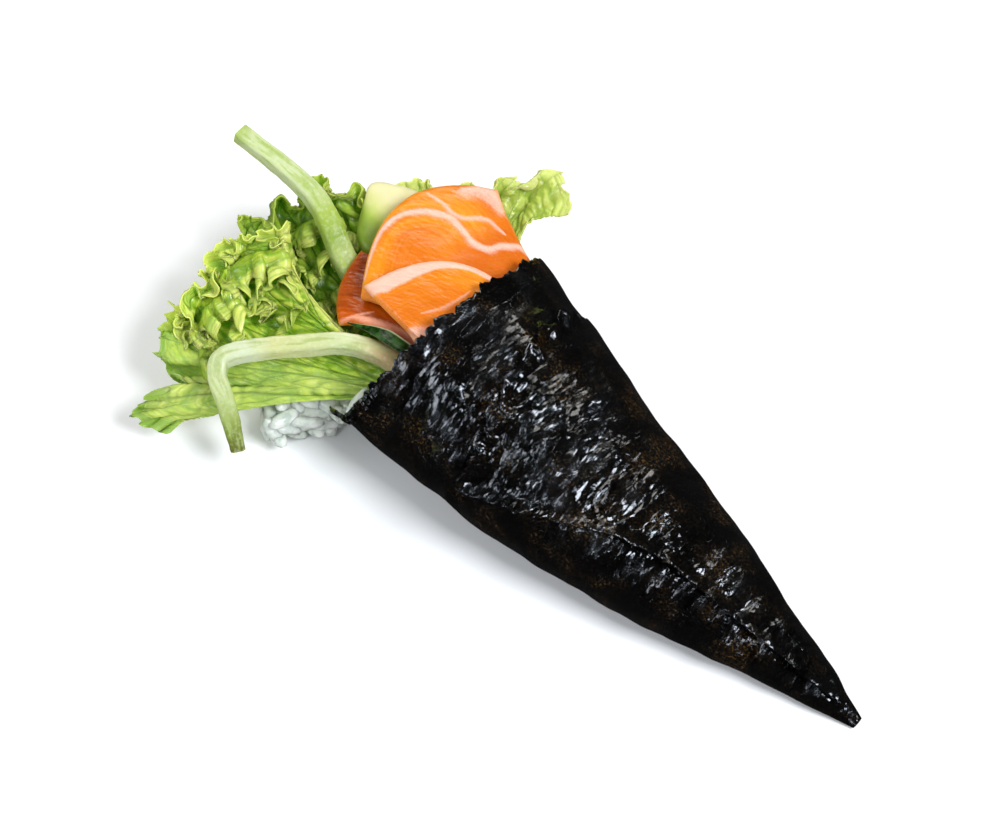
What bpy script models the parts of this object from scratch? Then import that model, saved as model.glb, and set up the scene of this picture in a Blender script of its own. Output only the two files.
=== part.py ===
"""Salmon temaki: a hand roll lying on its side, with +X from the open mouth to the tip and +Z up.

A sheet of roasted nori is rolled into a cone round sushi rice. Lettuce leaves, salmon slices,
cucumber and avocado lie on the rice, run down into the cone and spill out of its mouth.

The cone is laid out with its mouth at x = 0 and its tip at x = CONE_LENGTH. The fillings are laid
out as if the mouth's section went on as a straight tube, and squeeze() then narrows them with the
cone, so that what is clear of its neighbours in the mouth stays clear all the way down.
"""

import math

import bmesh
import bpy
from mathutils import Vector

MM = 0.001  # one millimetre in metres

# Driving dimensions
GAP = 0.3 * MM  # between pieces that touch
CONE_LENGTH = 108 * MM
MOUTH_HALF = 26.1 * MM  # half the cone's width at the mouth
TIP_HALF = 1.3 * MM
BULGE = 0.42  # how far the cone's sides bow outwards
HEIGHT_RATIO = 0.78  # the cone is lower than it is wide
FLAT_SINK = 0.7 * MM  # how far the round underside is pressed flat
SWAY = 2.6 * MM  # sideways bow of the cone's axis
NORI_WALL = 0.8 * MM
MOUTH_LEAN = 5.7 * MM  # how far the mouth's plane leans along the cone
MOUTH_LEAN_ANGLE = math.radians(68)
MOUTH_SHIFT = 0.45 * MM
PINCH = 0.35  # how far the mouth's near corner is pressed together
PINCH_START = 0.72  # share of the cone's length where the pinch begins
FLAP_STEP = 0.9 * MM  # thickness that the outer turn of the sheet adds
FILLING_DEPTH = 42 * MM  # how far the fillings run down into the cone


def point(x, y, z):
    """A place given in millimetres."""
    return Vector((x, y, z)) * MM


def smooth(value):
    """0 below 0, 1 above 1, and an even S between."""
    value = min(max(value, 0.0), 1.0)
    return value * value * (3 - 2 * value)


def mix(first, second, share):
    return first * (1 - share) + second * share


# The cone


def cone_half(x):
    share = 1 - x / CONE_LENGTH
    return TIP_HALF + (MOUTH_HALF - TIP_HALF) * (share + BULGE * share * (1 - share))


def cone_centre(x):
    share = 1 - x / CONE_LENGTH
    side = -SWAY * math.sin(math.pi * max(share, 0.0) ** 1.3)
    return Vector((x, side, HEIGHT_RATIO * cone_half(x) - FLAT_SINK * share))


def cone_point(x, angle, inset=0.0):
    """A point of the wall, inset inwards. Angles run from +Y (0) over the top (90 degrees)."""
    share = 1 - x / CONE_LENGTH
    half = cone_half(x)
    pinch = PINCH * smooth((share - PINCH_START) / (1 - PINCH_START))
    near_side = ((1 - math.cos(angle)) / 2) ** 4
    rise = (HEIGHT_RATIO * half - inset) * math.sin(angle) * (1 - pinch * near_side)
    centre = cone_centre(x)
    height = max(centre.z + rise, inset)
    return Vector((x, centre.y + (half - inset) * math.cos(angle), height))


def mouth_x(angle):
    return MOUTH_SHIFT + MOUTH_LEAN * math.cos(angle - MOUTH_LEAN_ANGLE)


TUBE_CENTRE = cone_centre(0.0)
SQUEEZE_EASE = 6 * MM


def squeeze(place):
    """Narrows a point of the straight tube with the cone. Outside the mouth it barely moves."""
    depth = (place.x + math.hypot(place.x, SQUEEZE_EASE)) / 2
    scale = cone_half(depth) / MOUTH_HALF
    centre = cone_centre(depth)
    return Vector(
        (
            place.x,
            centre.y + (place.y - TUBE_CENTRE.y) * scale,
            centre.z + (place.z - TUBE_CENTRE.z) * scale,
        )
    )


# Meshes


def finish(name, bm, colour, roughness):
    bmesh.ops.recalc_face_normals(bm, faces=bm.faces)
    mesh = bpy.data.meshes.new(name)
    bm.to_mesh(mesh)
    bm.free()
    mesh.shade_smooth()
    mesh.set_sharp_from_angle(angle=math.radians(50))
    material = bpy.data.materials.new(name + "_material")
    material.use_nodes = True
    shader = material.node_tree.nodes["Principled BSDF"]
    shader.inputs["Base Color"].default_value = (*colour, 1.0)
    shader.inputs["Roughness"].default_value = roughness
    shader.inputs["Metallic"].default_value = 0.0
    mesh.materials.append(material)
    piece = bpy.data.objects.new(name, mesh)
    bpy.context.scene.collection.objects.link(piece)
    return piece


def loft(name, rings, colour, roughness):
    """One closed body: rings of points joined in order, with a pole at each end."""
    bm = bmesh.new()
    rows = [[bm.verts.new(place) for place in ring] for ring in rings]
    for row, after in zip(rows, rows[1:]):
        for i, corner in enumerate(row):
            j = (i + 1) % len(row)
            bm.faces.new((corner, row[j], after[j], after[i]))
    for row in (rows[0], rows[-1]):
        pole = bm.verts.new(sum((v.co for v in row), Vector()) / len(row))
        for i, corner in enumerate(row):
            bm.faces.new((corner, row[(i + 1) % len(row)], pole))
    return finish(name, bm, colour, roughness)


def sheet(name, surface, cells, thickness, rim, colour, roughness):
    """A slab on both sides of surface(across, along), thinning to rim x thickness at its edges."""
    across_cells, along_cells = cells
    bm = bmesh.new()
    rows = [
        [
            bm.verts.new(surface(i / across_cells, j / along_cells))
            for i in range(across_cells + 1)
        ]
        for j in range(along_cells + 1)
    ]
    for row, after in zip(rows, rows[1:]):
        for i in range(across_cells):
            bm.faces.new((row[i], row[i + 1], after[i + 1], after[i]))
    piece = finish(name, bm, colour, roughness)
    body = piece.vertex_groups.new(name="body")
    full = [
        j * (across_cells + 1) + i
        for j in range(1, along_cells)
        for i in range(1, across_cells)
    ]
    body.add(full, 1.0, "REPLACE")
    slab = piece.modifiers.new("Slab", "SOLIDIFY")
    slab.thickness = thickness
    slab.offset = 0.0
    slab.vertex_group = body.name
    slab.thickness_vertex_group = rim
    return piece


def coons(corners, edges):
    """The smooth patch between four bowed edges.

    corners are at (across, along) = (0,0), (1,0), (0,1), (1,1). edges are the middles of the edges
    at along = 0, along = 1, across = 0 and across = 1.
    """
    near_left, near_right, far_left, far_right = corners
    near, far, left, right = edges

    def bow(start, middle, end, share):
        return (
            start * (1 - share) * (1 - 2 * share)
            + middle * 4 * share * (1 - share)
            + end * share * (2 * share - 1)
        )

    def surface(across, along):
        rows = mix(
            bow(near_left, near, near_right, across),
            bow(far_left, far, far_right, across),
            along,
        )
        columns = mix(
            bow(near_left, left, far_left, along),
            bow(near_right, right, far_right, along),
            across,
        )
        flat = mix(
            mix(near_left, near_right, across), mix(far_left, far_right, across), along
        )
        return rows + columns - flat

    return surface


def smooth_path(places, share):
    """A Catmull-Rom curve through places, for share from 0 to 1."""
    spans = len(places) - 1
    span = min(int(share * spans), spans - 1)
    local = share * spans - span
    before = places[max(span - 1, 0)]
    start, end = places[span], places[span + 1]
    after = places[min(span + 2, spans)]
    return 0.5 * (
        2 * start
        + (end - before) * local
        + (2 * before - 5 * start + 4 * end - after) * local**2
        + (3 * start - before - 3 * end + after) * local**3
    )


def rounded_ring(centre, side, lift, half_width, half_height, corners, squareness):
    """A ring of points round centre, from a circle (squareness 1) towards a square (below 1)."""
    ring = []
    for i in range(corners):
        angle = 2 * math.pi * (i + 0.5) / corners
        out, up = math.cos(angle), math.sin(angle)
        ring.append(
            centre
            + side * half_width * math.copysign(abs(out) ** squareness, out)
            + lift * half_height * math.copysign(abs(up) ** squareness, up)
        )
    return ring


def stick(name, places, width, height, turns, corners, taper, colour, roughness):
    """A bar along places, from its outer end to its end in the cone.

    turns is its number of rings. taper(share) scales its section.
    """
    rings = []
    for i in range(turns + 1):
        share = i / turns
        ahead = smooth_path(places, min(share + 0.01, 1.0))
        behind = smooth_path(places, max(share - 0.01, 0.0))
        along = (ahead - behind).normalized()
        side = along.cross(Vector((0, 0, 1))).normalized()
        lift = side.cross(along)
        scale = taper(share)
        ring = rounded_ring(
            smooth_path(places, share),
            side,
            lift,
            width / 2 * scale,
            height / 2 * scale,
            corners,
            0.7,
        )
        rings.append([squeeze(place) for place in ring])
    return loft(name, rings, colour, roughness)


# Nori


FLAP_MOUTH_EDGE = 18.5 * MM  # where the outer turn's short edge crosses the cone's far side
FLAP_MOUTH_SLANT = 8 * MM  # how much nearer the tip that edge is at the flap's corner
FLAP_LOW_EDGE = 112.0  # degrees round the cone of the flap's long edge, near the tip
FLAP_LOW_SLANT = 50.0  # how much further round it is at the corner
FLAP_FADE = (70 * MM, 100 * MM)  # where the step dies out towards the tip


def flap_height(x, angle):
    """The outer turn lies on the inner one, from a slanted free edge over the top and round."""
    over = math.degrees(angle) % 360
    mouth_edge = FLAP_MOUTH_EDGE + FLAP_MOUTH_SLANT * smooth((over - 50) / 100)
    low_edge = FLAP_LOW_EDGE + FLAP_LOW_SLANT * (1 - smooth((x / MM - 20) / 50))
    covered = smooth((x - mouth_edge) / (3 * MM) + 0.5)
    covered *= smooth((low_edge - over) / 10 + 0.5)
    covered *= smooth((over + 10) / 40)
    fade_start, fade_end = FLAP_FADE
    fade = 1 - smooth((x - fade_start) / (fade_end - fade_start))
    return FLAP_STEP * covered * fade


NORI_AROUND = 40
NORI_OUTER_ROWS = 21
NORI_INNER_ROWS = 14
NORI_HOLLOW_END = 99 * MM  # beyond it the sheet is rolled solid


def nori():
    angles = [2 * math.pi * i / NORI_AROUND for i in range(NORI_AROUND)]
    rings = []
    for j in range(NORI_OUTER_ROWS + 1):
        share = 1 - j / NORI_OUTER_ROWS
        ring = []
        for angle in angles:
            x = mix(mouth_x(angle), CONE_LENGTH, share)
            ring.append(cone_point(x, angle, -flap_height(x, angle)))
            ring[-1].z = max(ring[-1].z, 0.0)
        rings.append(ring)
    for j in range(NORI_INNER_ROWS + 1):
        share = j / NORI_INNER_ROWS
        ring = []
        for angle in angles:
            x = mix(mouth_x(angle), NORI_HOLLOW_END, share)
            ring.append(cone_point(x, angle, NORI_WALL))
        rings.append(ring)
    return loft("nori_wrap", rings, (0.012, 0.013, 0.010), 0.35)


# Rice

RICE_INSET = NORI_WALL + 1.6 * GAP
RICE_AROUND = 26
RICE_DEPTH = 95 * MM  # how far the rice reaches into the cone
RICE_INNER_ROWS = 13
BED_HEIGHT = 12.4 * MM  # the rice's surface under the fillings, in the mouth
BED_BANK = 5 * MM  # how far the rice climbs the cone's sides
# Past the mouth the bed ends on the far side, and a clump slides out on the near side.
CLUMP_ROWS = [2, -1.5, -5.8, -8.5, -11.5, -15.5, -19.5, -23.5, -26]  # millimetres along X
CLUMP_NEAR = -24.2 * MM
CLUMP_NEAR_OUT = 12.5 * MM  # how far the clump slumps out towards -Y
CLUMP_NEAR_BACK = 8 * MM  # and how far it draws back in at its end
CLUMP_FAR = 23 * MM
CLUMP_FAR_OUT = -13 * MM
CLUMP_FAR_BACK = 15 * MM
CLUMP_HEIGHT = 11.2 * MM
CLUMP_DROP = 4 * MM
LOOSE_FROM = -5.8 * MM  # past here the clump lies on the table, not in the nori
LUMP = 0.7 * MM


def rice_limits(x, y):
    """The lowest and highest rice at a place: the cone's inside, or the floor, and the bed."""
    centre = cone_centre(x)
    aside = (y - centre.y) / (cone_half(x) - RICE_INSET)
    angle = math.acos(min(max(aside, -1.0), 1.0))
    tube_y = abs(y - centre.y) / cone_half(x) * MOUTH_HALF
    bed = BED_HEIGHT + BED_BANK * (tube_y / (24 * MM)) ** 6
    bed = squeeze(Vector((x, 0.0, bed))).z
    bed += smooth((x - FILLING_DEPTH) / (7 * MM)) * 40 * MM
    low = cone_point(x, -angle, RICE_INSET).z
    return low, max(min(bed, cone_point(x, angle, RICE_INSET).z), low)


def signed_swell(i, angle, power):
    """The ring's height from -1 to 1: 0 at its two side corners."""
    if i in (0, RICE_AROUND // 2):
        return 0.0
    return math.copysign(abs(math.sin(angle)) ** power, math.sin(angle))


def rice_in_cone(x):
    centre = cone_centre(x)
    half = cone_half(x) - RICE_INSET
    ring = []
    for i in range(RICE_AROUND):
        angle = 2 * math.pi * i / RICE_AROUND
        y = centre.y + half * math.cos(angle)
        low, high = rice_limits(x, y)
        swell = signed_swell(i, angle, 0)
        ring.append(Vector((x, y, (low + high) / 2 + (high - low) / 2 * swell)))
    return ring


def rice_clump(x):
    out = (CLUMP_ROWS[0] * MM - x) / ((CLUMP_ROWS[0] - CLUMP_ROWS[-1]) * MM)
    near = CLUMP_NEAR - CLUMP_NEAR_OUT * smooth((out - 0.3) / 0.4)
    near += CLUMP_NEAR_BACK * smooth((out - 0.7) / 0.3)
    far = mix(CLUMP_FAR, CLUMP_FAR_OUT, smooth(out / 0.45))
    far -= CLUMP_FAR_BACK * smooth((out - 0.5) / 0.5)
    loose = smooth((LOOSE_FROM - x) / (2.5 * MM))
    ring = []
    for i in range(RICE_AROUND):
        angle = 2 * math.pi * i / RICE_AROUND
        y = (near + far) / 2 + (far - near) / 2 * math.cos(angle)
        low, high = rice_limits(x, y)
        low = mix(low, 0.0, loose)
        lump = LUMP * math.sin(x / MM * 0.9) * math.sin(y / MM * 0.8)
        high = mix(high, CLUMP_HEIGHT - CLUMP_DROP * out**4 + lump, loose)
        swell = signed_swell(i, angle, 0.5 * smooth(out * 2))
        ring.append(Vector((x, y, (low + high) / 2 + (high - low) / 2 * swell)))
    return ring


def rice():
    rings = []
    for j in range(RICE_INNER_ROWS):
        share = (j / RICE_INNER_ROWS) ** 1.15
        rings.append(rice_in_cone(RICE_DEPTH * (1 - share)))
    for row in CLUMP_ROWS:
        rings.append(rice_clump(row * MM))
    return loft("sushi_rice", rings, (0.80, 0.82, 0.78), 0.35)


# Lettuce

LEAF_THICKNESS = 0.9 * MM
LEAF_RIM = 0.6  # share of the thickness at a leaf's edges
LEAF_INSIDE = 0.3  # share of a leaf's rows that lie in the cone


def leaf_surface(leaf):
    """A leaf from its gathered foot in the cone out to its ruffled rim.

    roots are the two ends of the line where it leaves the mouth, bends say how it goes on from
    there, and the rim is an arc round hub from one bearing to another, with its own reach.
    """

    def surface(across, along):
        root = mix(*leaf["roots"], across)
        if along < LEAF_INSIDE:
            depth = leaf["depth"] * (1 - along / LEAF_INSIDE)
            return squeeze(root + Vector((depth, 0, 0)))
        out = (along - LEAF_INSIDE) / (1 - LEAF_INSIDE)
        bearing = math.radians(mix(*leaf["bearings"], across))
        reach = leaf["reach"](across) * MM
        rim = leaf["hub"] + Vector((math.cos(bearing), math.sin(bearing), 0)) * reach
        rim.z = mix(*leaf["rim_heights"], across) * MM
        bend = root + mix(*leaf["bends"], across)
        place = root * (1 - out) ** 2 + bend * 2 * out * (1 - out) + rim * out**2
        turns = 2 * math.pi * leaf["ruffles"] * across
        wave = math.sin(turns + leaf["phase"]) + 0.45 * math.sin(1.7 * turns + 2.1)
        place += leaf["facing"].normalized() * leaf["ruffle"] * out**4 * wave
        return squeeze(place)

    return surface


def bump(value, centre, width):
    return math.exp(-(((value - centre) / width) ** 2))


FRONT_LEAF = {
    "roots": (point(0, -15, 14.9), point(0, -11.5, 20.2)),
    "bends": (point(-16, -14, 0), point(-24, -5.5, 2.5)),
    "hub": point(-2, -13, 0),
    "bearings": (231, 172),
    "rim_heights": (10.2, 28.0),
    "reach": lambda across: 50 - 7 * across - 8 * bump(across, 0.18, 0.06),
    "facing": Vector((0, -0.5, 0.87)),
    "ruffle": 3.4 * MM,
    "ruffles": 5.5,
    "phase": 0.8,
    "depth": 40 * MM,
}
MIDDLE_LEAF = {
    "roots": (point(0, -10, 14.2), point(0, 4, 14.6)),
    "bends": (point(-22, -7, 0.5), point(-20, 4, 1.0)),
    "hub": point(-2, -3, 0),
    "bearings": (191, 155),
    "rim_heights": (19.5, 21.5),
    "reach": lambda across: 46 - 7 * across,
    "facing": Vector((0, -0.2, 0.98)),
    "ruffle": 2.0 * MM,
    "ruffles": 3.5,
    "phase": 1.9,
    "depth": 36 * MM,
}
BACK_LEAF = {
    "roots": (point(0, 21.5, 23.0), point(0, 10, 15.6)),
    "bends": (point(-8, 8.5, 3), point(-20, 2, 0)),
    "hub": point(2, 12, 0),
    "bearings": (103, 172),
    "rim_heights": (27.0, 22.0),
    "reach": lambda across: (
        27 + 9 * across + 3 * bump(across, 0.2, 0.12) - 6 * bump(across, 0.6, 0.15)
    ),
    "facing": Vector((0.1, 0.1, 0.98)),
    "ruffle": 1.6 * MM,
    "ruffles": 5.0,
    "phase": 0.3,
    "depth": 36 * MM,
}


def leaf(name, shape, cells, colour):
    return sheet(name, leaf_surface(shape), cells, LEAF_THICKNESS, LEAF_RIM, colour, 0.35)


# Salmon

SLICE_RIM = 0.5  # share of the thickness at a slice's edges


def slice_of_salmon(name, corners, edges, crown, cells, thickness, colour):
    """A slab on a patch, raised in its middle by crown."""
    patch = coons(corners, edges)

    def surface(across, along):
        lift = crown * 16 * across * (1 - across) * along * (1 - along)
        return squeeze(patch(across, along) + Vector((0, 0, lift)))

    return sheet(name, surface, cells, thickness, SLICE_RIM, colour, 0.25)


def salmon():
    slice_of_salmon(
        "salmon_slice_front",
        (
            point(1.4, -9.6, 33.6),
            point(34, -9.0, 33.2),
            point(-14.3, -7.8, 32.1),
            point(34, 8, 34.7),
        ),
        (
            point(17, -9.6, 33.6),
            point(1.0, 9.9, 35.1),
            point(-7.0, -9.0, 32.9),
            point(34, 0, 36.1),
        ),
        0.0,
        (12, 8),
        3.0 * MM,
        (0.92, 0.32, 0.08),
    )
    slice_of_salmon(
        "salmon_slice_main",
        (
            point(-15, -9, 28.6),
            point(34, -4, 30.1),
            point(-12, 28, 30.3),
            point(34, 21, 27.3),
        ),
        (
            point(4, -4.5, 29.9),
            point(8, 20.8, 28.4),
            point(-25.8, 11.6, 29.8),
            point(34, 9, 30.7),
        ),
        0.5 * MM,
        (16, 12),
        3.4 * MM,
        (0.92, 0.34, 0.10),
    )
    slice_of_salmon(
        "salmon_slice_under",
        (
            point(-15.3, -14, 24.2),
            point(34, -8.6, 27.8),
            point(-20.9, -10.3, 24.9),
            point(34, 4, 24.8),
        ),
        (
            point(2, -9.7, 28.4),
            point(0, 3, 25.0),
            point(-18.6, -12.6, 24.6),
            point(34, -2, 25.9),
        ),
        0.0,
        (10, 6),
        2.4 * MM,
        (0.75, 0.20, 0.04),
    )


# Cucumber and avocado


STICK_CORNERS = 8


def blunt(share):
    """A full section with slightly rounded ends."""
    return 1 - 0.25 * (1 - smooth(share / 0.04)) - 0.25 * (1 - smooth((1 - share) / 0.04))


def wedge(share):
    """Thin at the outer end, full from a quarter of the way in."""
    return 0.35 + 0.65 * smooth(share / 0.25)


def round_nose(share):
    """A rounded outer end, like the tip of an avocado slice."""
    near_end = min(0.12 + share * 5, 1.0)
    return math.sqrt(1 - (1 - near_end) ** 2)


def cucumber():
    stick(
        "cucumber_stick_straight",
        (
            point(-57.9, 0.5, 34),
            point(-38.2, 1.8, 29.5),
            point(-24.2, -2.6, 23),
            point(-8, -4.4, 18.2),
            point(14, -4.4, 17.4),
            point(40, -4.4, 17.4),
        ),
        4.6 * MM,
        4.0 * MM,
        14,
        STICK_CORNERS,
        blunt,
        (0.62, 0.72, 0.35),
        0.3,
    )
    stick(
        "cucumber_stick_bent",
        (
            point(-17.0, -42.3, 9.0),
            point(-22.0, -39.4, 16.4),
            point(-26.4, -37.2, 21.2),
            point(-26.8, -32.9, 22.8),
            point(-18.2, -23.2, 24.2),
            point(-8.0, -14.8, 25.2),
            point(8, -12.2, 25.2),
            point(38, -12.2, 25.2),
        ),
        4.2 * MM,
        3.7 * MM,
        24,
        STICK_CORNERS,
        blunt,
        (0.66, 0.72, 0.42),
        0.3,
    )
    stick(
        "cucumber_skin_strip",
        (
            point(-13.6, -13.4, 26.6),
            point(-6, -11.9, 29.4),
            point(2, -11.2, 30.4),
            point(12, -11.2, 30.4),
            point(32, -11.2, 30.4),
        ),
        1.1 * MM,
        3.4 * MM,
        10,
        6,
        wedge,
        (0.05, 0.16, 0.02),
        0.3,
    )


def avocado():
    return stick(
        "avocado_slice",
        (
            point(-31, 12.8, 24.2),
            point(-16, 9.6, 22.4),
            point(0, 7, 21.2),
            point(34, 7, 21),
        ),
        12.5 * MM,
        5.4 * MM,
        12,
        12,
        round_nose,
        (0.62, 0.66, 0.28),
        0.4,
    )


def main():
    for thing in list(bpy.data.objects):
        bpy.data.objects.remove(thing, do_unlink=True)
    nori()
    rice()
    leaf("lettuce_leaf_front", FRONT_LEAF, (34, 10), (0.28, 0.52, 0.05))
    leaf("lettuce_leaf_middle", MIDDLE_LEAF, (18, 8), (0.18, 0.40, 0.04))
    leaf("lettuce_leaf_back", BACK_LEAF, (24, 8), (0.38, 0.55, 0.12))
    salmon()
    cucumber()
    avocado()

    # The origin is the middle of the box's underside.
    bpy.context.view_layer.update()
    graph = bpy.context.evaluated_depsgraph_get()
    pieces = list(bpy.context.scene.collection.objects)
    places = [v.co for piece in pieces for v in piece.evaluated_get(graph).data.vertices]
    low = Vector([min(place[axis] for place in places) for axis in range(3)])
    high = Vector([max(place[axis] for place in places) for axis in range(3)])
    roll = bpy.data.objects.new("temaki", None)
    bpy.context.scene.collection.objects.link(roll)
    roll.location = (-(low.x + high.x) / 2, -(low.y + high.y) / 2, -low.z)
    for piece in pieces:
        piece.parent = roll


main()
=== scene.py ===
# %% [markdown]
# # A salmon hand roll, dressed over its CAD frame
#
# A temaki is a cone of roasted nori rolled round warm rice, with raw fish, leaves and vegetables standing out
# of its mouth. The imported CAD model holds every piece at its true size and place, but each is a plain solid.
# This lesson replaces them one by one: it rebuilds each shape from the same rule at a much finer step, adds
# what the real thing shows (torn edges, frills, fat lines, grains), and gives it a procedural material.

# %% Load the frame
import math

import bmesh
import bpy
import numpy as np
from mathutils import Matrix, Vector


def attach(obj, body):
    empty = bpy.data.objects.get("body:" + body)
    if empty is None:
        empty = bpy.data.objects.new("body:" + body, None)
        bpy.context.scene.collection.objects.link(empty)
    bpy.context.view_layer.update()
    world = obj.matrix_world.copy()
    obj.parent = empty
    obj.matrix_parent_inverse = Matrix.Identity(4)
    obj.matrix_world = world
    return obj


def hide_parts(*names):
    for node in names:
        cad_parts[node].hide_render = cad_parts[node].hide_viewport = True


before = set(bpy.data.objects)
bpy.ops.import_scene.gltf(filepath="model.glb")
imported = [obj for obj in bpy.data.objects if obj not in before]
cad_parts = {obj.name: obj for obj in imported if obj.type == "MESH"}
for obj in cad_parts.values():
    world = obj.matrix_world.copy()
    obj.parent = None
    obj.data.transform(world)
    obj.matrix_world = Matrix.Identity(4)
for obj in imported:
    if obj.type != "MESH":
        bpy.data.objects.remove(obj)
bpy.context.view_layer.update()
MM = 0.001  # one millimetre in metres

# %% [markdown]
# ## One set of axes for the roll
# The cone is easiest to describe with its mouth at x = 0 and its tip at x = 108 mm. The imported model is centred
# on its own box instead. Two measurements of the nori node give the shift between them, so that every formula
# below can use the cone's own axes and still land exactly on the CAD.

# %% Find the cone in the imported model
CONE_LENGTH = 108.0  # mm, from the mouth to the tip
nori_cad = np.array([v.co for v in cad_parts["nori_wrap"].data.vertices]) / MM
tip_y = nori_cad[nori_cad[:, 0] > nori_cad[:, 0].max() - 0.01, 1].mean()
SHIFT = np.array([nori_cad[:, 0].max() - CONE_LENGTH, tip_y, 0.0])
print("cone axes to frame axes, mm:", SHIFT.round(2))


# %% Small shaping helpers
def smooth(value):
    """0 below 0, 1 above 1, and an even S between."""
    value = np.clip(value, 0.0, 1.0)
    return value * value * (3 - 2 * value)


def mix(first, second, share):
    return first * (1 - share) + second * share


def unit(vectors):
    return vectors / np.maximum(np.linalg.norm(vectors, axis=-1, keepdims=True), 1e-9)


def wander(places, pitch, seed):
    """Smooth random values from -1 to 1, with a new one every pitch: an edge torn by hand, not by a saw."""
    knots = np.random.default_rng(seed).uniform(-1, 1, 997)
    cell = np.floor(places / pitch).astype(int)
    share = smooth(places / pitch - cell)
    return mix(knots[cell % 997], knots[(cell + 1) % 997], share)


def wander_over(first, second, pitch, seed):
    """The same over two directions, for patches on a surface."""
    knots = np.random.default_rng(seed).uniform(-1, 1, (97, 97))
    i, j = np.floor(first / pitch).astype(int), np.floor(second / pitch).astype(int)
    s, t = smooth(first / pitch - i), smooth(second / pitch - j)
    low = mix(knots[i % 97, j % 97], knots[(i + 1) % 97, j % 97], s)
    high = mix(knots[i % 97, (j + 1) % 97], knots[(i + 1) % 97, (j + 1) % 97], s)
    return mix(low, high, t)


def smooth_path(places, count):
    """A Catmull-Rom curve through places, as count points."""
    places = np.array(places, float)
    spans = len(places) - 1
    at = np.linspace(0, spans, count)
    span = np.minimum(at.astype(int), spans - 1)
    t = (at - span)[:, None]
    before, start = places[np.maximum(span - 1, 0)], places[span]
    end, after = places[span + 1], places[np.minimum(span + 2, spans)]
    return 0.5 * (
        2 * start
        + (end - before) * t
        + (2 * before - 5 * start + 4 * end - after) * t**2
        + (3 * start - before - 3 * end + after) * t**3
    )


# %% [markdown]
# ## From points to a mesh
# Two kinds of closed mesh cover nearly everything on the roll. A loft joins rings of points and closes each end.
# A slab takes one sheet of points and grows it both ways; where its thickness runs out to nothing at the rim,
# the two sides share their points, which gives a fish slice or a leaf a soft, closed edge.


# %% Mesh makers
def new_piece(name, points, faces):
    mesh = bpy.data.meshes.new(name)
    mesh.from_pydata(((points + SHIFT) * MM).tolist(), [], faces)
    mesh.validate()
    mesh.shade_smooth()
    piece = bpy.data.objects.new(name, mesh)
    bpy.context.scene.collection.objects.link(piece)
    return piece


def paint(piece, name, values):
    """Stores one number or one vector for each point, for node trees and materials to read."""
    values = np.asarray(values, np.float32)
    kind, field = ("FLOAT_VECTOR", "vector") if values.ndim == 2 else ("FLOAT", "value")
    attribute = piece.data.attributes.new(name, kind, "POINT")
    attribute.data.foreach_set(field, values.ravel())


def grid_faces(rows, columns, wrap=False):
    """Corner numbers of the quads of a grid, going round if wrap is set."""
    i, j = np.meshgrid(np.arange(rows - 1), np.arange(columns - (not wrap)), indexing="ij")
    k = (j + 1) % columns
    corners = [i * columns + j, i * columns + k, (i + 1) * columns + k, (i + 1) * columns + j]
    return np.stack(corners, -1).reshape(-1, 4)


def loft_piece(name, rings):
    """A closed body through rings of points, given as an array of rings x points x 3."""
    count, around, _ = rings.shape
    points = np.concatenate([rings.reshape(-1, 3), rings[:1].mean(1), rings[-1:].mean(1)])
    faces = grid_faces(count, around, wrap=True).tolist()
    last, pole = (count - 1) * around, count * around
    for i in range(around):
        j = (i + 1) % around
        faces.append((j, i, pole))
        faces.append((last + i, last + j, pole + 1))
    return new_piece(name, points, faces)


def slab_piece(name, middle, lift):
    """A closed slab, lift to either side of the sheet of points called middle. Returns it and its points' grid numbers."""
    rows, columns, _ = middle.shape
    numbers = np.arange(rows * columns).reshape(rows, columns)
    inner = np.zeros((rows, columns), bool)
    inner[1:-1, 1:-1] = True
    under = numbers.copy()
    under[inner] = rows * columns + np.arange(inner.sum())
    flat = lift.reshape(-1, 3) * inner.reshape(-1, 1)
    points = np.concatenate([middle.reshape(-1, 3) + flat, (middle - lift)[inner]])
    top = grid_faces(rows, columns)
    bottom = under.ravel()[top][:, ::-1]
    piece = new_piece(name, points, np.concatenate([top, bottom]).tolist())
    return piece, np.concatenate([numbers.ravel(), numbers[inner]])


def sheet_normals(grid):
    """Directions at each point of a grid: across it, along it and square to it."""
    across = unit(np.gradient(grid, axis=1))
    along = unit(np.gradient(grid, axis=0))
    return across, along, unit(np.cross(across, along))


# %% [markdown]
# ## Nodes, colours and Geometry Nodes
# Colours are picked as sRGB hex codes, the numbers a paint program shows. Light adds up in linear numbers, so
# one function converts them. One more function adds any node with its settings and links, which keeps each
# material and each geometry tree short enough to read as a recipe.


# %% Node helpers
def srgb(code):
    """A hex colour as the linear red, green, blue and alpha that a shader works in."""
    parts = [int(code[i : i + 2], 16) / 255 for i in (1, 3, 5)]
    return tuple(c / 12.92 if c <= 0.04045 else ((c + 0.055) / 1.055) ** 2.4 for c in parts) + (1.0,)


def feed(tree, node, inputs):
    """Fills inputs of a node, by name or number: with a value, a hex colour, another node or one of its outputs."""
    for key, value in inputs.items():
        if isinstance(value, bpy.types.Node):
            value = next(output for output in value.outputs if output.enabled)
        if isinstance(value, bpy.types.NodeSocket):
            tree.links.new(value, node.inputs[key])
        else:
            node.inputs[key].default_value = srgb(value) if str(value).startswith("#") else value


def add(tree, kind, inputs=None, stops=(), **settings):
    """Adds a node with its inputs and settings; stops are the (place, hex colour) pairs of a Color Ramp."""
    made = tree.nodes.new(kind)
    for key, value in settings.items():
        setattr(made, key, value)
    for number, (place, colour) in enumerate(stops):
        elements = made.color_ramp.elements
        stop = elements[number] if number < len(elements) else elements.new(place)
        stop.position, stop.color = place, srgb(colour)
    feed(tree, made, inputs or {})
    return made


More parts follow.
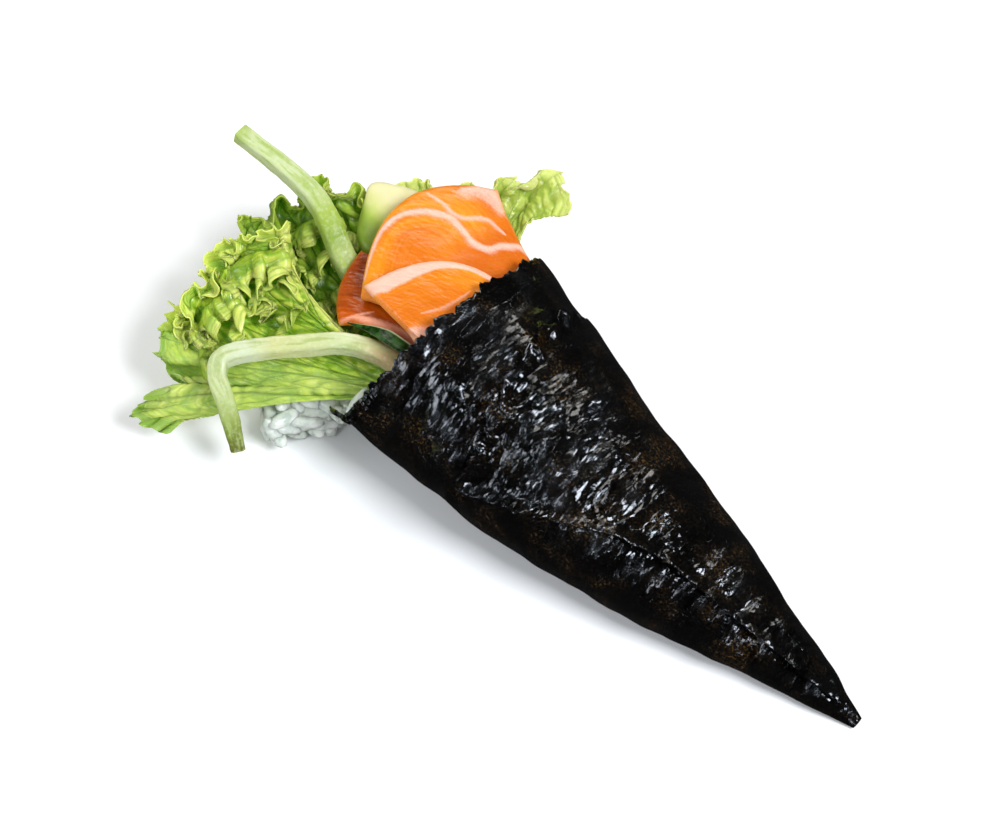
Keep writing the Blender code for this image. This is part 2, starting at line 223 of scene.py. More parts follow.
def new_material(name, constants):
    """A material with one Principled shader, whose constants are set on its own sockets."""
    material = bpy.data.materials.new(name)
    material.use_nodes = True
    shader = material.node_tree.nodes["Principled BSDF"]
    feed(material.node_tree, shader, constants)
    return material, material.node_tree, shader


def new_tree(name, **sockets):
    """A Geometry Nodes tree with a Geometry input and output and the named inputs, each (kind, default)."""
    tree = bpy.data.node_groups.new(name, "GeometryNodeTree")
    tree.interface.new_socket("Geometry", in_out="OUTPUT", socket_type="NodeSocketGeometry")
    tree.interface.new_socket("Geometry", in_out="INPUT", socket_type="NodeSocketGeometry")
    for key, (kind, value) in sockets.items():
        socket = tree.interface.new_socket(key.replace("_", " "), in_out="INPUT", socket_type="NodeSocket" + kind)
        if value is not None:
            socket.default_value = value
    return tree, add(tree, "NodeGroupInput").outputs


def grow(piece, tree, **values):
    """Runs a tree on a piece with its named inputs, and keeps the result as the piece's own plain mesh."""
    modifier = piece.modifiers.new(tree.name, "NODES")
    modifier.node_group = tree
    for item in tree.interface.items_tree:
        key = item.name.replace(" ", "_")
        if item.in_out == "INPUT" and key in values:
            modifier[item.identifier] = values[key]
    graph = bpy.context.evaluated_depsgraph_get()
    mesh = bpy.data.meshes.new_from_object(piece.evaluated_get(graph))
    piece.modifiers.clear()
    if piece.type == "MESH":
        piece.data = mesh
        made = piece
    else:
        name = piece.name
        bpy.data.objects.remove(piece)
        made = bpy.data.objects.new(name, mesh)
        bpy.context.scene.collection.objects.link(made)
    made.data.shade_smooth()
    print(f"{made.name}: {tree.name} made {len(mesh.polygons)} faces")
    return made


def serve(piece, node):
    """Puts a finished piece on the roll: it rides on the frame and stands for its CAD node."""
    if node != "nori_wrap":
        tuck_in(piece)
    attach(piece, "root")
    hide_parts(node)
    triangles = sum(len(p.vertices) - 2 for p in piece.data.polygons)
    print(f"{piece.name}: {triangles} triangles")


# %% [markdown]
# ## The cone's own shape
# Every piece is laid out against the cone, so its rule comes first: a width that bows a little between mouth and
# tip, a section lower than it is wide and pressed flat underneath, and a near corner that is pinched together.
# Angles run round the cone from the far side (0), over the top (90 degrees), to the near side (180).

# %% The rule of the cone
MOUTH_HALF, TIP_HALF, BULGE = 26.1, 1.3, 0.42
HEIGHT_RATIO, FLAT_SINK, SWAY = 0.78, 0.7, 2.6
PINCH, PINCH_START = 0.35, 0.72
SQUEEZE_EASE = 6.0


def cone_half(x):
    share = 1 - x / CONE_LENGTH
    return TIP_HALF + (MOUTH_HALF - TIP_HALF) * (share + BULGE * share * (1 - share))


def cone_centre(x):
    share = 1 - x / CONE_LENGTH
    side = -SWAY * np.sin(np.pi * np.maximum(share, 0.0) ** 1.3)
    return side, HEIGHT_RATIO * cone_half(x) - FLAT_SINK * share


def cone_point(x, angle, inset=0.0):
    """Points of the wall, inset inwards."""
    share = 1 - x / CONE_LENGTH
    half = cone_half(x)
    pinch = PINCH * smooth((share - PINCH_START) / (1 - PINCH_START))
    near_side = ((1 - np.cos(angle)) / 2) ** 4
    side, height = cone_centre(x)
    rise = (HEIGHT_RATIO * half - inset) * np.sin(angle) * (1 - pinch * near_side)
    z = np.maximum(height + rise, np.maximum(inset, 0.0))
    return np.stack([x + 0 * angle, side + (half - inset) * np.cos(angle), z + 0 * x], -1)


def mouth_x(angle):
    return 0.45 + 5.7 * np.cos(angle - math.radians(68))


def tuck_in(piece):
    """Pulls in every point of a filling that would poke through the sheet, which is creased deeper inside."""
    mesh = piece.data
    places = np.empty(len(mesh.vertices) * 3, np.float32)
    mesh.vertices.foreach_get("co", places)
    x, y, z = (places.reshape(-1, 3) / MM - SHIFT).T
    half = cone_half(x)
    side, height = cone_centre(x)
    gap = mix(0.9, 2.4, smooth(x / 10))  # mm clear of the outside
    across, rise = (y - side) / (half - gap), (z - height) / (HEIGHT_RATIO * half - gap)
    angle = np.arctan2(rise, across)
    share = 1 - x / CONE_LENGTH
    pinch = PINCH * smooth((share - PINCH_START) / (1 - PINCH_START)) * ((1 - np.cos(angle)) / 2) ** 4
    rise /= 1 - pinch
    # From half a millimetre outside the mouth inwards, the sheet presses on what it holds.
    held = smooth(x - mouth_x(angle) + 1.5)
    excess = mix(1.0, 1 / np.maximum(np.hypot(across, rise), 1.0), held)
    pulled = np.stack([x, side + (y - side) * excess, height + (z - height) * excess], -1)
    mesh.vertices.foreach_set("co", ((pulled + SHIFT) * MM).astype(np.float32).ravel())
    mesh.update()
    print(f"{piece.name}: {(excess < 1).sum()} points tucked in")


TUBE_Y, TUBE_Z = cone_centre(0.0)


def squeeze(points):
    """Narrows what is laid out in a straight tube with the cone. Outside the mouth it barely moves."""
    x, y, z = np.moveaxis(np.asarray(points, float), -1, 0)
    depth = (x + np.hypot(x, SQUEEZE_EASE)) / 2
    scale = cone_half(depth) / MOUTH_HALF
    side, height = cone_centre(depth)
    return np.stack([x, side + (y - TUBE_Y) * scale, height + (z - TUBE_Z) * scale], -1)


# %% [markdown]
# ## Roasted nori
# Nori is a felt of seaweed shreds dried on a mat. Roasting makes it glassy and brittle, so a rolled sheet never
# lies smooth: it buckles into short sharp creases across the roll, and its torn rim is ragged. A wall of points
# follows the cone's rule, and a Geometry Nodes tree then pushes it in and out along a direction stored on each
# point, so that the inside and the outside of the sheet crease together.

# %% Crumpling tree
METRES = ("Float", 1.0)


def crumple_tree():
    tree, given = new_tree(
        "crumple",
        Crease_Spacing=METRES,
        Crease_Length=METRES,
        Crease_Depth=METRES,
        Buckle_Depth=METRES,
        Material=("Material", None),
    )
    place = add(tree, "GeometryNodeInputPosition")
    # A slow drift bends the creases, so that no two run quite parallel.
    drift = add(tree, "ShaderNodeTexNoise", {"Vector": place, "Scale": 90.0, "Detail": 1.0})
    lowered = add(tree, "ShaderNodeVectorMath", {0: drift.outputs["Color"], 1: (0.5,) * 3}, operation="SUBTRACT")
    bent = add(tree, "ShaderNodeVectorMath", {0: lowered, "Scale": 0.010}, operation="SCALE")
    moved = add(tree, "ShaderNodeVectorMath", {0: place, 1: bent}, operation="ADD")
    sizes = add(
        tree,
        "ShaderNodeCombineXYZ",
        {0: given["Crease Spacing"], 1: given["Crease Length"], 2: given["Crease Length"]},
    )
    stretched = add(tree, "ShaderNodeVectorMath", {0: moved, 1: sizes}, operation="DIVIDE")
    creases = add(tree, "ShaderNodeTexNoise", {"Vector": stretched, "Scale": 1.0, "Detail": 2.5})
    # Folding the noise about its middle turns soft waves into sharp crests.
    off = add(
        tree,
        "ShaderNodeMath",
        {0: add(tree, "ShaderNodeMath", {0: creases.outputs["Fac"], 1: 0.5}, operation="SUBTRACT")},
        operation="ABSOLUTE",
    )
    crest = add(
        tree,
        "ShaderNodeMath",
        {0: 0.55, 1: add(tree, "ShaderNodeMath", {0: off, 1: 4.0}, operation="MULTIPLY")},
        operation="SUBTRACT",
    )
    buckles = add(tree, "ShaderNodeTexNoise", {"Vector": place, "Scale": 75.0, "Detail": 1.0})
    slow = add(tree, "ShaderNodeMath", {0: buckles.outputs["Fac"], 1: 0.5}, operation="SUBTRACT")
    amount = add(tree, "GeometryNodeInputNamedAttribute", {"Name": "crumple"}, data_type="FLOAT")
    height = add(
        tree,
        "ShaderNodeMath",
        {
            0: add(
                tree,
                "ShaderNodeMath",
                {
                    0: add(tree, "ShaderNodeMath", {0: crest, 1: given["Crease Depth"]}, operation="MULTIPLY"),
                    1: amount,
                },
                operation="MULTIPLY",
            ),
            1: add(tree, "ShaderNodeMath", {0: slow, 1: given["Buckle Depth"]}, operation="MULTIPLY"),
        },
        operation="ADD",
    )
    outward = add(tree, "GeometryNodeInputNamedAttribute", {"Name": "outward"}, data_type="FLOAT_VECTOR")
    offset = add(tree, "ShaderNodeVectorMath", {0: outward, "Scale": height}, operation="SCALE")
    pushed = add(tree, "GeometryNodeSetPosition", {"Geometry": given["Geometry"], "Offset": offset})
    solid = add(tree, "GeometryNodeRealizeInstances", {"Geometry": pushed})
    dressed = add(
        tree, "GeometryNodeSetMaterial", {"Geometry": solid, "Material": given["Material"]}
    )
    add(tree, "NodeGroupOutput", {"Geometry": dressed})
    return tree


CRUMPLE = crumple_tree()
print("crumple tree:", len(CRUMPLE.nodes), "nodes")

# %% [markdown]
# The eye knows nori by three things: it is almost black, it is speckled with brown and olive where the felt is
# thin, and its creases flash. The flashes need a glassy surface under small steep slopes, so the material pairs
# a low roughness with two bumps: creases a couple of millimetres apart and the shreds of seaweed themselves.


# %% Roasted nori, dried on a mat and toasted
def facets(tree, place, sizes):
    """Flat facets, each tilted its own way, like crumpled film: the height of a plane in every Voronoi cell."""
    rates = tuple(1 / (size * MM) for size in sizes)
    scaled = add(tree, "ShaderNodeMapping", {"Vector": place, "Scale": rates})
    drift = add(tree, "ShaderNodeTexNoise", {"Vector": scaled, "Scale": 0.7, "Detail": 1.0}).outputs["Color"]
    wavy = add(tree, "ShaderNodeVectorMath", {0: drift, 1: (0.9,) * 3, 2: scaled}, operation="MULTIPLY_ADD")
    cells = add(tree, "ShaderNodeTexVoronoi", {"Vector": wavy, "Scale": 1.0})
    inside = add(
        tree, "ShaderNodeVectorMath", {0: wavy, 1: cells.outputs["Position"]}, operation="SUBTRACT"
    )
    tilt = add(
        tree, "ShaderNodeVectorMath", {0: cells.outputs["Color"], 1: (0.5,) * 3}, operation="SUBTRACT"
    )
    return add(tree, "ShaderNodeVectorMath", {0: inside, 1: tilt}, operation="DOT_PRODUCT").outputs["Value"]


def nori_material(name, roughness, haze, speck):
    material, tree, shader = new_material(
        name,
        {
            "IOR": 1.5,
            "Specular IOR Level": 0.5,
            "Specular Tint": "#dfe8f2",
            "Coat Weight": 0.4,
            "Coat Roughness": 0.07,
            "Coat IOR": 1.5,
        },
    )
    place = add(tree, "ShaderNodeTexCoord").outputs["Object"]
    shreds = add(tree, "ShaderNodeTexNoise", {"Vector": place, "Scale": 2300.0, "Detail": 3.0, "Roughness": 0.6})
    clumps = add(tree, "ShaderNodeTexNoise", {"Vector": place, "Scale": 140.0, "Detail": 3.0})
    thin = add(
        tree,
        "ShaderNodeMath",
        {
            0: shreds.outputs["Fac"],
            1: add(
                tree,
                "ShaderNodeMapRange",
                {0: clumps.outputs["Fac"], 1: 0.38, 2: 0.68, 3: 0.76, 4: 1.06},
                interpolation_type="SMOOTHSTEP",
            ),
        },
        operation="MULTIPLY",
    )
    felt = add(
        tree,
        "ShaderNodeValToRGB",
        {0: thin},
        stops=((0.36, "#030303"), (0.46, "#090705"), (0.58, haze), (0.74, speck)),
    )
    feed(tree, shader, {"Base Color": felt})
    patches = add(tree, "ShaderNodeTexNoise", {"Vector": place, "Scale": 110.0, "Detail": 2.0})
    rough = add(
        tree,
        "ShaderNodeMapRange",
        {0: patches.outputs["Fac"], 1: 0.40, 2: 0.60, 3: roughness + 0.14, 4: roughness},
        interpolation_type="SMOOTHSTEP",
    )
    feed(tree, shader, {"Roughness": rough})
    # Broad sags decide which parts of the roll face a light at all; long folds and fine wrinkles lie inside them.
    amount = add(tree, "ShaderNodeAttribute", attribute_name="crumple").outputs["Fac"]
    sags = add(
        tree,
        "ShaderNodeBump",
        {"Strength": 1.0, "Distance": 0.0055, "Height": facets(tree, place, (9.0, 15.0, 15.0))},
    )
    folds = add(
        tree,
        "ShaderNodeBump",
        {
            "Strength": add(
                tree,
                "ShaderNodeMapRange",
                {0: amount, 1: 0.0, 2: 1.0, 3: 0.05, 4: 1.0},
                interpolation_type="SMOOTHSTEP",
            ),
            "Distance": 0.0040,
            "Height": facets(tree, place, (2.4, 7.5, 7.5)),
            "Normal": sags,
        },
    )
    wrinkles = add(
        tree,
        "ShaderNodeBump",
        {
            "Strength": add(
                tree,
                "ShaderNodeMapRange",
                {0: amount, 1: 0.0, 2: 1.0, 3: 0.30, 4: 1.0},
                interpolation_type="SMOOTHSTEP",
            ),
            "Distance": 0.00085,
            "Height": facets(tree, place, (0.8, 2.5, 2.5)),
            "Normal": folds,
        },
    )
    felted = add(
        tree,
        "ShaderNodeBump",
        {"Strength": 0.5, "Distance": 0.00012, "Height": shreds.outputs["Fac"], "Normal": wrinkles},
    )
    feed(tree, shader, {"Normal": felted})
    feed(tree, shader, {"Coat Normal": wrinkles})  # the glaze follows the folds, not the felt
    return material


ROASTED_NORI = nori_material("roasted nori, dried on a mat", 0.11, "#17110a", "#553d1b")
MOIST_NORI = nori_material("nori softened by steam from the rice", 0.10, "#463014", "#9c7634")
print("nori materials made")

# %% [markdown]
# The wall itself is a loft: rings run from the tip up the outside to the mouth, over the torn rim, and a short
# way back down the inside. Its crumple attribute says how strongly each place is creased. The sheet is tightest,
# and so smoothest, at the mouth and along the underside; the middle of the roll, where the hand closed, is worst.

# %% Where the sheet is torn and creased
NORI_SHEET = 0.34  # mm; the real sheet is about half that, too thin to show a rim at this size
NORI_AROUND, NORI_ROWS, NORI_INNER_ROWS = 380, 190, 10


def arc_at(x, angle):
    """Distance round the cone from its far side, mm."""
    return angle * cone_half(x) * 0.9


def tear(angle):
    """How far the torn rim stands out past the mouth's plane: small sharp teeth over the top."""
    round_mouth = arc_at(0.0, angle)
    over_top = smooth((np.degrees(angle) - 28) / 25) * smooth((163 - np.degrees(angle)) / 16)
    big = np.abs(wander(round_mouth, 2.1, 3)) ** 0.8
    small = np.abs(wander(round_mouth, 0.9, 4))
    return (1.3 * big + 0.55 * small) * over_top + 0.25 * small


CRUSHED = (  # where a finger pressed the roll: distance along it, angle round it, and how wide, mm
    (27, 105, 8), (38, 86, 6), (51, 118, 7), (38, 138, 7), (57, 135, 6), (83, 105, 9), (72, 130, 7), (20, 120, 5),
)  # fmt: skip


def crease_amount(x, angle):
    turn = np.degrees(angle) % 360
    front = smooth((turn - 40) / 40) * smooth((172 - turn) / 26)
    back = 0.35 * smooth((turn - 200) / 40) * smooth((350 - turn) / 40)
    near_mouth = mix(0.22, 0.85, smooth((turn - 108) / 16))
    along = mix(near_mouth, 1.0, smooth((x - 11) / 9)) * (1 - 0.3 * smooth((x - 92) / 12))
    patches = 0.60 + 0.38 * wander_over(x + 400, arc_at(x, angle) + 400, 6.5, 11)
    for at, turned, wide in CRUSHED:
        far = np.hypot(x - at, (turn - turned) * np.radians(1) * cone_half(x))
        patches = np.maximum(patches, 1.1 * np.exp(-((far / wide) ** 2)))
    return np.clip(0.06 + (front + back) * along * patches, 0.04, 1.0)


def wall_direction(x, angle):
    """Straight out of the wall; it fades to nothing underneath, where the roll's weight presses the sheet flat."""
    out = unit(cone_point(x, angle, -0.5) - cone_point(x, angle, 0.5))
    return out * smooth((cone_point(x, angle)[..., 2:] - 0.6) / 4)


print("teeth, mm:", tear(np.radians(np.arange(30, 170, 20))).round(2))


# %% The rolled wall
def nori_wall():
    angle = np.linspace(0, 2 * np.pi, NORI_AROUND, endpoint=False)
    rim = mouth_x(angle) - tear(angle)
    outer_share = np.linspace(1, 0, NORI_ROWS + 1)[:, None]
    inner_share = np.linspace(0, 1, NORI_INNER_ROWS + 1)[:, None] ** 2
    outer_x = mix(rim, CONE_LENGTH, outer_share)
    inner_x = mix(rim, 96.0, inner_share)
    x = np.concatenate([outer_x, inner_x])
    angles = np.broadcast_to(angle, x.shape)
    inset = np.where(np.arange(len(x))[:, None] <= NORI_ROWS, 0.0, NORI_SHEET)
    rings = cone_point(x, angles, inset)
    piece = loft_piece("rolled_nori", rings)
    ends = lambda field: np.concatenate(
        [field.reshape(-1, *field.shape[2:]), field[:1].mean(1), field[-1:].mean(1)]
    )
    paint(piece, "crumple", ends(crease_amount(x, angles)))
    paint(piece, "outward", ends(wall_direction(x, angles)))
    return piece


CREASES = {
    "Crease_Spacing": 0.0036,
    "Crease_Length": 0.0095,
    "Crease_Depth": 0.0010,
    "Buckle_Depth": 0.0026,
}
nori = grow(nori_wall(), CRUMPLE, Material=ROASTED_NORI, **CREASES)
serve(nori, "nori_wrap")

# %% [markdown]
# A roll ends where its sheet ends. The last turn lies over the first with two free edges: a short one slanting
# across the cone near the mouth, and a long one running down to the tip. Both are a little lifted and uneven, and
# they catch the light. This turn is a slab of its own, buried in the wall at its hidden sides.


# %% The outer turn and its free edges
def flap_mouth_edge(turn):
    return 18.5 + 8 * smooth((turn - 50) / 100) + 1.0 * wander(turn, 4.2, 21) + 0.45 * wander(turn, 1.4, 22)


def flap_low_edge(x):
    slant = 112 + 50 * (1 - smooth((x - 20) / 50))
    return slant - 6 * smooth((x - 96) / 10) + 1.3 * wander(x, 4.6, 23) + 0.7 * wander(x, 1.5, 24)


def outer_turn():
    rows, columns = 200, 150
    along = np.linspace(0, 1, rows)[:, None]
    round_it = np.linspace(0, 1, columns)[None, :] ** 0.8
    start = -14.0
    x = mix(flap_mouth_edge(mix(start, 160.0, round_it)), 107.4, along)
    turn = mix(start, flap_low_edge(x), round_it)
    angle = np.radians(turn)
    # Distances from the free edges, mm, raise them; the other two edges sink into the wall.
    from_mouth = x - x[:1]
    from_low = (1 - round_it) * np.radians(flap_low_edge(x) - start) * cone_half(x)
    near_edge = np.exp(-((np.minimum(from_mouth, from_low) / 1.6) ** 2))
    over_top = smooth((turn - 25) / 30)
    lift = 0.30 + near_edge * over_top * (1.75 + 0.85 * wander_over(x + 90, arc_at(x, angle) + 90, 3.2, 25))
    hidden = smooth(round_it / 0.12) * smooth((107 - x) / 9)
    height = mix(-0.5, lift, hidden)
    sheet = cone_point(x, angle, -height)
    thickness = 0.5 * NORI_SHEET * smooth(np.minimum(from_mouth, from_low) / 0.35 + 0.3)
    normal = unit(cone_point(x, angle, -0.5) - cone_point(x, angle, 0.5))
    piece, source = slab_piece("outer_turn_of_nori", sheet[:, ::-1], (normal * thickness[..., None])[:, ::-1])
    paint(piece, "crumple", crease_amount(x, angle)[:, ::-1].ravel()[source])
    paint(piece, "outward", wall_direction(x, angle)[:, ::-1].reshape(-1, 3)[source])
    return piece


flap = grow(outer_turn(), CRUMPLE, Material=ROASTED_NORI, **CREASES)
serve(flap, "nori_wrap")

# %% [markdown]
# At the near corner of the mouth the sheet has taken up steam from the rice, turned soft and glossy, and rolled
# over into a small hem that ends in a point. It is a strip whose section is a curl: out from under the rim,
# round it, and back over the outside of the wall.


# %% The rolled hem at the mouth's near corner
def rolled_hem():
    rows, columns = 150, 40
    along = np.linspace(0, 1, rows)[:, None]
    curl = np.linspace(0, 1, columns)[None, :]
    angle = np.radians(mix(133.0, 196.0, along))
    spine = cone_point(mouth_x(angle) - 0.2, angle)
    out = unit(cone_point(mouth_x(angle), angle, -0.5) - cone_point(mouth_x(angle), angle, 0.5))
    back = np.array([1.0, 0.0, 0.0])
    size = smooth(along / 0.35) * (0.55 + 0.45 * smooth((1 - along) / 0.5))
    lean = math.radians(-120) + curl * math.radians(300)
    radius = 0.62 * size * (1 + 0.35 * wander(along * 60, 2.3, 31))
    tail = smooth((curl - 0.55) / 0.45) * 2.3 * size * (1 + 0.3 * wander(along * 60, 1.9, 32))
    forward = -radius * np.cos(lean - math.radians(90)) + tail
    up = radius * np.sin(lean - math.radians(90)) + 0.25 + 0.35 * wander_over(along * 60, curl * 6, 1.7, 33) * size
    slide = smooth((along - 0.75) / 0.25)[..., None] * np.array([-3.4, -0.6, 1.0])
    strip = spine + forward[..., None] * back + up[..., None] * out + slide
    strip[..., 2] = np.maximum(strip[..., 2], 0.3)
    _, _, normal = sheet_normals(strip)
    piece, source = slab_piece("rolled_nori_hem", strip, normal * 0.13)
    paint(piece, "crumple", np.full(len(source), 0.8))
    paint(piece, "outward", normal.reshape(-1, 3)[source])
    return piece


hem = grow(
    rolled_hem(),
    CRUMPLE,
    Crease_Spacing=0.0016,
    Crease_Length=0.0022,
    Crease_Depth=0.00035,
    Buckle_Depth=0.0004,
    Material=MOIST_NORI,
)
serve(hem, "nori_wrap")

# %% [markdown]
# ## Sushi rice
# Sushi rice is short-grained and sticky: the grains keep their shape but lie pressed together every way, and
# the light goes a little way into each. Only the grains at the surface can be seen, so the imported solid, shrunk
# by a grain's thickness, is a core, and a Geometry Nodes tree scatters grains over the part of it that shows.
# Poisson spacing keeps two grains from starting at one place; the seed fixes where they land.


# %% Rice grain tree
def rice_tree():
    tree, given = new_tree(
        "rice grains",
        Grain_Length=METRES,
        Grain_Width=METRES,
        Spacing=METRES,
        Shows_Below_X=METRES,
        Seed=("Int", 1),
        Material=("Material", None),
    )
    coarse = add(
        tree, "GeometryNodeMeshToVolume", {"Mesh": given["Geometry"]}, resolution_mode="VOXEL_SIZE"
    )
    coarse.inputs["Voxel Size"].default_value = 0.0006
    coarse.inputs["Interior Band Width"].default_value = 0.002
    skin = add(tree, "GeometryNodeVolumeToMesh", {"Volume": coarse}, resolution_mode="VOXEL_SIZE")
    skin.inputs["Voxel Size"].default_value = 0.0011
    normal = add(tree, "GeometryNodeInputNormal")
    inwards = add(
        tree,
        "ShaderNodeVectorMath",
        {0: normal, "Scale": add(tree, "ShaderNodeMath", {0: given["Grain Width"], 1: -0.5}, operation="MULTIPLY")},
        operation="SCALE",
    )
    core = add(tree, "GeometryNodeSetPosition", {"Geometry": skin, "Offset": inwards})
    place = add(tree, "GeometryNodeInputPosition")
    x = add(tree, "ShaderNodeSeparateXYZ", {0: place})
    shows = add(tree, "ShaderNodeMath", {0: x, 1: given["Shows Below X"]}, operation="LESS_THAN")
    spots = add(
        tree,
        "GeometryNodeDistributePointsOnFaces",
        {
            "Mesh": core,
            "Distance Min": given["Spacing"],
            "Density Max": 400000.0,
            "Density Factor": shows,
            "Seed": given["Seed"],
        },
        distribute_method="POISSON",
    )
    ball = add(tree, "GeometryNodeMeshUVSphere", {"Segments": 10, "Rings": 7, "Radius": 0.5})
    sizes = add(
        tree,
        "ShaderNodeCombineXYZ",
        {
            0: given["Grain Length"],
            1: given["Grain Width"],
            2: add(tree, "ShaderNodeMath", {0: given["Grain Width"], 1: 0.86}, operation="MULTIPLY"),
        },
    )
    grain = add(tree, "GeometryNodeTransform", {"Geometry": ball, "Scale": sizes})
    spin = add(
        tree,
        "FunctionNodeRandomValue",
        {0: (-0.2, -0.25, 0.0), 1: (0.2, 0.25, 6.283), "Seed": given["Seed"]},
        data_type="FLOAT_VECTOR",
    )
    turned = add(
        tree,
        "FunctionNodeRotateRotation",
        {"Rotation": spots.outputs["Rotation"], "Rotate By": spin},
        rotation_space="LOCAL",
    )
    plump = add(tree, "FunctionNodeRandomValue", {2: 0.86, 3: 1.12, "Seed": given["Seed"]}, data_type="FLOAT")
    laid = add(
        tree,
        "GeometryNodeInstanceOnPoints",
        {
            "Points": spots.outputs["Points"],
            "Instance": grain,
            "Rotation": turned,
            "Scale": plump.outputs[1],
        },
    )
    solid = add(tree, "GeometryNodeRealizeInstances", {"Geometry": laid})
    # Each grain is a little lumpy, and none goes under the table.
    lumps = add(tree, "ShaderNodeTexNoise", {"Vector": place, "Scale": 420.0, "Detail": 1.0})
    lowered = add(tree, "ShaderNodeVectorMath", {0: lumps.outputs["Color"], 1: (0.5,) * 3}, operation="SUBTRACT")
    nudge = add(tree, "ShaderNodeVectorMath", {0: lowered, "Scale": 0.0011}, operation="SCALE")
    lumpy = add(tree, "GeometryNodeSetPosition", {"Geometry": solid, "Offset": nudge})
    whole = add(tree, "GeometryNodeJoinGeometry")
    feed(tree, whole, {0: core})
    feed(tree, whole, {0: lumpy})
    parts = add(tree, "ShaderNodeSeparateXYZ", {0: place}).outputs
    above = add(
        tree,
        "ShaderNodeCombineXYZ",
        {0: parts[0], 1: parts[1], 2: add(tree, "ShaderNodeMath", {0: parts[2], 1: 0.0003}, operation="MAXIMUM")},
    )
    rested = add(tree, "GeometryNodeSetPosition", {"Geometry": whole, "Position": above})
    dressed = add(
        tree, "GeometryNodeSetMaterial", {"Geometry": rested, "Material": given["Material"]}
    )
    add(tree, "NodeGroupOutput", {"Geometry": dressed})
    return tree


RICE_GRAINS = rice_tree()
print("rice tree:", len(RICE_GRAINS.nodes), "nodes")

# %% Steamed short-grain rice
def rice_material():
    material, tree, shader = new_material(
        "short-grain rice, steamed",
        {
            "IOR": 1.45,
            "Specular IOR Level": 0.6,
            "Subsurface Weight": 0.7,
            "Subsurface Radius": (1.0, 1.05, 1.1),
            "Subsurface Scale": 0.0014,
            "Coat Weight": 0.3,
            "Coat Roughness": 0.15,
        },
    )
    place = add(tree, "ShaderNodeTexCoord").outputs["Object"]
    # Starch makes some parts of a grain chalkier than others, a millimetre at a time.
    starch = add(tree, "ShaderNodeTexNoise", {"Vector": place, "Scale": 480.0, "Detail": 2.0}).outputs["Fac"]
    # The grey-green of these colours is painted: shade, and green light bounced up from the lettuce; the starch only
    # moves between them.
    feed(
        tree,
        shader,
        {
            "Base Color": add(
                tree,
                "ShaderNodeValToRGB",
                {0: starch},
                stops=((0.34, "#c3cdc2"), (0.50, "#dae2d6"), (0.66, "#eef1e8")),
            ),
        },
    )
    feed(
        tree,
        shader,
        {
            "Roughness": add(
                tree,
                "ShaderNodeMapRange",
                {0: starch, 1: 0.3, 2: 0.7, 3: 0.26, 4: 0.42},
                interpolation_type="SMOOTHSTEP",
            ),
        },
    )
    fine = add(tree, "ShaderNodeTexNoise", {"Vector": place, "Scale": 1600.0, "Detail": 2.0})
    bump = add(tree, "ShaderNodeBump", {"Strength": 0.3, "Distance": 0.0002, "Height": fine.outputs["Fac"]})
    feed(tree, shader, {"Normal": bump})
    return material


COOKED_RICE = rice_material()


# %% The rice
def merged_copy(name, node):
    """The CAD node's mesh as an object of its own, with its loose triangles joined up."""
    made = bpy.data.objects.new(name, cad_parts[node].data.copy())
    bpy.context.scene.collection.objects.link(made)
    made.data.materials.clear()
    shell = bmesh.new()
    shell.from_mesh(made.data)
    bmesh.ops.remove_doubles(shell, verts=shell.verts, dist=0.00001)
    shell.to_mesh(made.data)
    shell.free()
    return made


rice = grow(
    merged_copy("rice_grains", "sushi_rice"),
    RICE_GRAINS,
    Grain_Length=0.0086,
    Grain_Width=0.0033,
    Spacing=0.0027,
    Shows_Below_X=float((4.0 + SHIFT[0]) * MM),
    Seed=4,
    Material=COOKED_RICE,
)
serve(rice, "sushi_rice")

# %% [markdown]
# ## Lettuce
# A loose-leaf lettuce grows faster at its margin than in its middle. The spare length has nowhere to go but up
# and down, so the margin breaks into ruffles that carry smaller ruffles, and the blade between the veins puffs
# into blisters. The sheet of points below is built the same way: from the foot in the cone to the rim on a bent
# path, then on round a fold where the margin flops back over the leaf, with three sizes of ruffle added towards
# the margin. Each ruffle also swings sideways at twice its rate, which makes it overhang like a real frill.


# %% Veins of a leaf
def vein_field(across, out, width, count, seed):
    """1 on a vein and 0 off it. Veins fan out from the foot, and each one forks on both sides."""
    random = np.random.default_rng(seed)
    field = np.zeros_like(out)
    for number in range(count):
        start = (number + random.uniform(0.25, 0.75)) / count
        main = start + 0.05 * (wander(out * 10, 3.1, seed + number) - wander(0 * out, 3.1, seed + number))
        thick = mix(0.34, 0.13, out)
        field = np.maximum(field, np.exp(-(((across - main) * width / thick) ** 2)))
        for fork in range(7):
            leave = 0.12 + 0.12 * fork + random.uniform(-0.04, 0.04)
            side = 1 if (fork + number) % 2 else -1
            gone = np.maximum(out - leave, 0.0)
            path = main + side * (0.55 * gone - 0.25 * gone**2) * random.uniform(0.7, 1.2)
            path = path + 0.02 * wander(out * 10, 1.3, seed + 31 * number + fork)
            line = np.exp(-(((across - path) * width / 0.15) ** 2))
            field = np.maximum(field, 0.75 * line * smooth(gone / 0.04) * smooth((0.5 - gone) / 0.2))
    return field


# %% A frilled leaf
def turning(vectors, towards, angle):
    """Swings unit vectors through an angle in radians towards a direction square to them."""
    return vectors * np.cos(angle)[..., None] + towards * np.sin(angle)[..., None]


LEAF_THICKNESS = 0.42  # mm
LEAF_SHEETS = {}  # each finished leaf's points, for the extra frills that grow on it
RUFFLES = ((11.0, 2.6, 20.0), (4.7, 1.35, 8.5), (2.0, 0.65, 3.4))  # mm: pitch, height, how far from the margin


